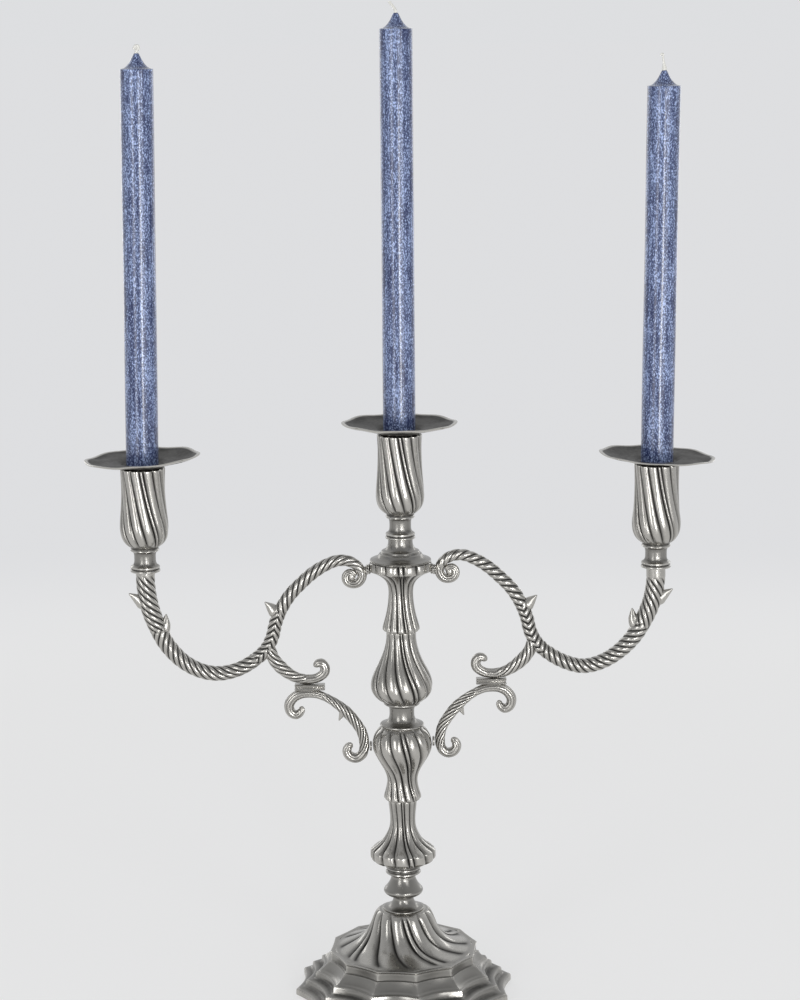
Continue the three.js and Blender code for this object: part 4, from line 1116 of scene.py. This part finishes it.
class BracketsOperator(bpy.types.Operator):
    """Models the scroll brackets, their clasps, the pads on the belly and the arms' solder"""

    bl_idname = "candelabra.brackets"
    bl_label = "Brackets"

    main = [(0, 2.2), (0.06, 3.2), (0.16, 3.5), (0.24, 3.4), (0.34, 2.9), (0.42, 2.9), (0.54, 3.9),
            (0.78, 3.4), (0.9, 3.5), (0.97, 3.0), (1, 2.4)]
    thorn = [(0, 3.0), (0.5, 2.0), (1, 0.3)]
    blob = [(0, 3.9), (0.35, 4.4), (0.6, 4.1), (0.8, 4.3), (1, 3.2)]

    def execute(self, context):
        for side in SIDES:
            at = bracket_grid(side)
            piece = joined(
                f"bracket_{side}_casting",
                rod("bracket_main", [at(*p) for p in BRACKET_PATH], self.main, 64, 0.5, self.twist),
                rod("bracket_thorn", [at(*p) for p in BRACKET_THORN], self.thorn, 24, 0.4, flat=0.8,
                    ends=(1, 0.6)))
            fit_side(piece, side)
            cast(piece, f"bracket_{side}", 2, angle=60)
            self.clasp(side)
            self.pad(side)
            self.solder(side)
        return {"FINISHED"}

    def twist(self, angle, along, share):
        """Long ridges down the brace, fine ones round both curls"""
        spacing, depth, strands = rope()
        into = blend(share, 0.36, 0.05) - blend(share, 0.79, 0.05)
        height = rope_height(angle, along, spacing, strands + 1, 1) * into + scroll_height(angle) * (1 - into)
        cut = stops([(0, 0.4), (0.34, 0.35), (0.42, 0.9), (0.76, 0.9), (0.84, 0.45), (1, 0.4)], share)
        return depth * cut * (1 - height)

    def solder(self, side):
        """The lumpy solder that holds the arm's scroll to the edge of the disc"""
        at = offset(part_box("upper_trumpet")[1].x, middle_of(f"disc_peg_{side}")[2])

        def lumps(angle, along, share):
            return 0.55 * MM * (1 + np.sin(3 * angle + 9 * share) * np.cos(5 * angle - 14 * share + 1))

        path = [at(-2.4, -2.6), at(0.9, -2.5), at(3.6, -1.6)]
        piece = rod(f"disc_solder_{side}", path, self.blob, 40, 0.25, lumps)
        # The whole lump counts as proud, so it is rubbed bright with a painted highlight
        store(piece, "sunk", 0)
        store(piece, "proud", 1.4)
        fit_side(piece, side)
        cast(piece, f"disc_peg_{side}", 1)

    def clasp(self, side):
        """A short bar with a lip above and below, where arm and bracket are soldered"""
        low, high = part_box(f"clasp_{side}")
        low.z, high.z = low.z - 0.5 * MM, high.z + 0.5 * MM
        size, centre, middle = high - low, (low + high) / 2, (low.z + high.z) / 2
        piece = primitive("cube", f"clasp_{side}_plate", size=1)
        bpy.ops.transform.resize(value=tuple(size))
        bpy.ops.transform.translate(value=tuple(centre))
        for share in (0.2, 0, -0.2):
            bpy.ops.mesh.select_all(action="SELECT")
            bpy.ops.mesh.bisect(plane_co=(0, 0, middle + size.z * share), plane_no=(0, 0, 1))
        pick(piece, "verts", lambda vert: abs(vert.co.z - middle) < size.z * 0.05)
        bpy.ops.transform.resize(value=(0.9, 0.72, 1), center_override=tuple(centre))
        leave_edit()
        bevelled(piece, 0.9 * MM)
        cast(piece, f"clasp_{side}", 1)

    def pad(self, side, thickness=1.4 * MM):
        """The round pad that meets the belly"""
        low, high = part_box(f"pad_peg_{side}")
        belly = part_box("lower_baluster")[1].x + SEAM * MM
        x = (belly + thickness / 2) * (1 if side == "right" else -1)
        piece = primitive("cylinder", f"pad_{side}_disc", vertices=64, radius=(high.z - low.z) / 2,
                          depth=thickness)
        bpy.ops.transform.rotate(value=math.pi / 2, orient_axis="Y", center_override=(0, 0, 0))
        bpy.ops.transform.translate(value=(x, (low.y + high.y) / 2, (low.z + high.z) / 2))
        leave_edit()
        bevelled(piece, 0.4 * MM)
        cast(piece, f"pad_peg_{side}", 1)


class HardwareOperator(bpy.types.Operator):
    """Finishes the steel hardware that keeps its own solids"""

    bl_idname = "candelabra.hardware"
    bl_label = "Hardware"

    def execute(self, context):
        for node in ("tie_rod", "foot_washer", "foot_nut", *(f"stud_{side}" for side in SIDES)):
            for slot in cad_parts[node].material_slots:
                slot.material = steel()
        return {"FINISHED"}


class StageOperator(bpy.types.Operator):
    """Sets the pale studio: floor, lamps, world and camera"""

    bl_idname = "candelabra.stage"
    bl_label = "Stage"

    # Name, place, size and power of each lamp
    lamps = (
        ("left_softbox", (-1.0, -1.5, 0.62), (0.42, 1.15), 6.2),
        ("right_softbox", (1.0, -1.5, 0.62), (0.42, 1.15), 4.6),
        ("candle_window", (0.42, -1.74, 0.28), (0.14, 0.5), 7.4),
        ("back_left", (-1.0, 1.5, 0.7), (0.2, 0.9), 1.5),
        ("back_right", (1.0, 1.5, 0.7), (0.2, 0.9), 1.5),
    )
    lit_middle = Vector((0, 0, 0.38))
    floor_size, floor_drop = 160, 0.2 * MM
    # The world's strength in front and behind, and where it turns from one to the other
    dim, bright, turn = 0.44, 0.75, 0.6

    def execute(self, context):
        deselect()
        bpy.ops.mesh.primitive_plane_add(size=self.floor_size, location=(0, 0, -self.floor_drop))
        floor = bpy.context.object
        floor.name = floor.data.name = "studio_floor"
        floor.data.materials.append(self.floor_finish())
        for lamp in self.lamps:
            self.lamp(*lamp)
        self.room(context)
        self.camera(context)
        context.scene.view_settings.view_transform = "Standard"
        return {"FINISHED"}

    def floor_finish(self):
        """Lit near the object, and far from it one pale tone that meets the wall's"""
        make = Recipe("studio_floor")
        cloud = make.noise(make.place(), 3, 2)
        tone = make.mix(cloud * 0.15, colours().floor, shaded(colours().floor, 0.96))
        far = make.node("VectorMath", {0: make.place()}, "Value", operation="LENGTH").step(0.8, 1.6)
        lit = make.node("BsdfPrincipled", {"Base Color": tone, "Roughness": 0.8})
        pale = make.node("Emission", {"Color": make.mix(far, tone, (0.73, 0.735, 0.75)), "Strength": 1.0})
        camera, glossy, through = (
            make.node("LightPath", output=f"Is {ray} Ray") for ray in ("Camera", "Glossy", "Transmission"))
        seen = (camera + glossy + through).clamp() * (far * 0.4 + 0.6)
        return make.end(make.node("MixShader", {0: seen, 1: lit, 2: pale}))

    def lamp(self, name, place, size, power):
        """A rectangular lamp aimed at the middle of the candelabra"""
        data = bpy.data.lights.new(name, "AREA")
        data.shape = "RECTANGLE"
        data.size, data.size_y = size
        data.energy = power
        lamp = bpy.data.objects.new(name, data)
        bpy.context.scene.collection.objects.link(lamp)
        lamp.visible_camera = False
        lamp.location = place
        lamp.rotation_euler = (self.lit_middle - Vector(place)).to_track_quat("-Z", "Y").to_euler()

    def room(self, context):
        """A bright wall behind the object and a dimmer room in front of it"""
        world = bpy.data.worlds.new("studio")
        context.scene.world = world
        world.use_nodes = True
        tree = world.node_tree
        backdrop = tree.nodes["Background"]
        backdrop.inputs["Color"].default_value = (0.97, 0.98, 1, 1)
        direction, axes, level = (
            tree.nodes.new(f"ShaderNode{kind}") for kind in ("TexCoord", "SeparateXYZ", "MapRange"))
        for name, value in (("From Min", -self.turn), ("From Max", self.turn), ("To Min", self.dim),
                            ("To Max", self.bright)):
            level.inputs[name].default_value = value
        tree.links.new(direction.outputs["Generated"], axes.inputs[0])
        tree.links.new(axes.outputs["Y"], level.inputs["Value"])
        tree.links.new(level.outputs[0], backdrop.inputs["Strength"])

    def camera(self, context, pitch=math.radians(10.8), roll=0.00885, distance=1.684, height=0.347):
        """The photo's camera, as fitted to the candelabra"""
        data = bpy.data.cameras.new("camera")
        data.lens = 90
        data.sensor_width = 36
        camera = bpy.data.objects.new("camera", data)
        context.scene.collection.objects.link(camera)
        camera.location = (0, -distance * math.cos(pitch), height + distance * math.sin(pitch))
        aim = Vector((0, math.cos(pitch), -math.sin(pitch))).to_track_quat("-Z", "Y")
        camera.rotation_euler = (aim @ Quaternion((0, 0, 1), -roll)).to_euler()
        context.scene.camera = camera


STEPS = (
    FootOperator, StemOperator, SocketsOperator, PansOperator, CandlesOperator, WicksOperator,
    ArmsOperator, BracketsOperator, HardwareOperator, StageOperator,
)


class CandelabraPanel(bpy.types.Panel):
    """Lists the candelabra's pieces in the sidebar"""

    bl_idname = "VIEW3D_PT_candelabra"
    bl_label = "Candelabra"
    bl_space_type = "VIEW_3D"
    bl_region_type = "UI"
    bl_category = "Candelabra"

    def draw(self, context):
        for group in (context.scene.candelabra_sizes, context.scene.candelabra_colours):
            box = self.layout.box()
            for name in group.__annotations__:
                box.prop(group, name)
        for step in STEPS:
            self.layout.operator(step.bl_idname)


CLASSES = (CandelabraSizes, CandelabraColours, *STEPS, CandelabraPanel)


def register():
    for cls in CLASSES:
        bpy.utils.register_class(cls)
    bpy.types.Scene.candelabra_sizes = bpy.props.PointerProperty(type=CandelabraSizes)
    bpy.types.Scene.candelabra_colours = bpy.props.PointerProperty(type=CandelabraColours)


def unregister():
    del bpy.types.Scene.candelabra_colours
    del bpy.types.Scene.candelabra_sizes
    for cls in reversed(CLASSES):
        bpy.utils.unregister_class(cls)


def main():
    register()
    for step in STEPS:
        group, name = step.bl_idname.split(".")
        getattr(getattr(bpy.ops, group), name)()
    bpy.context.view_layer.update()
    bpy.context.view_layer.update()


if __name__ == "__main__":
    main()
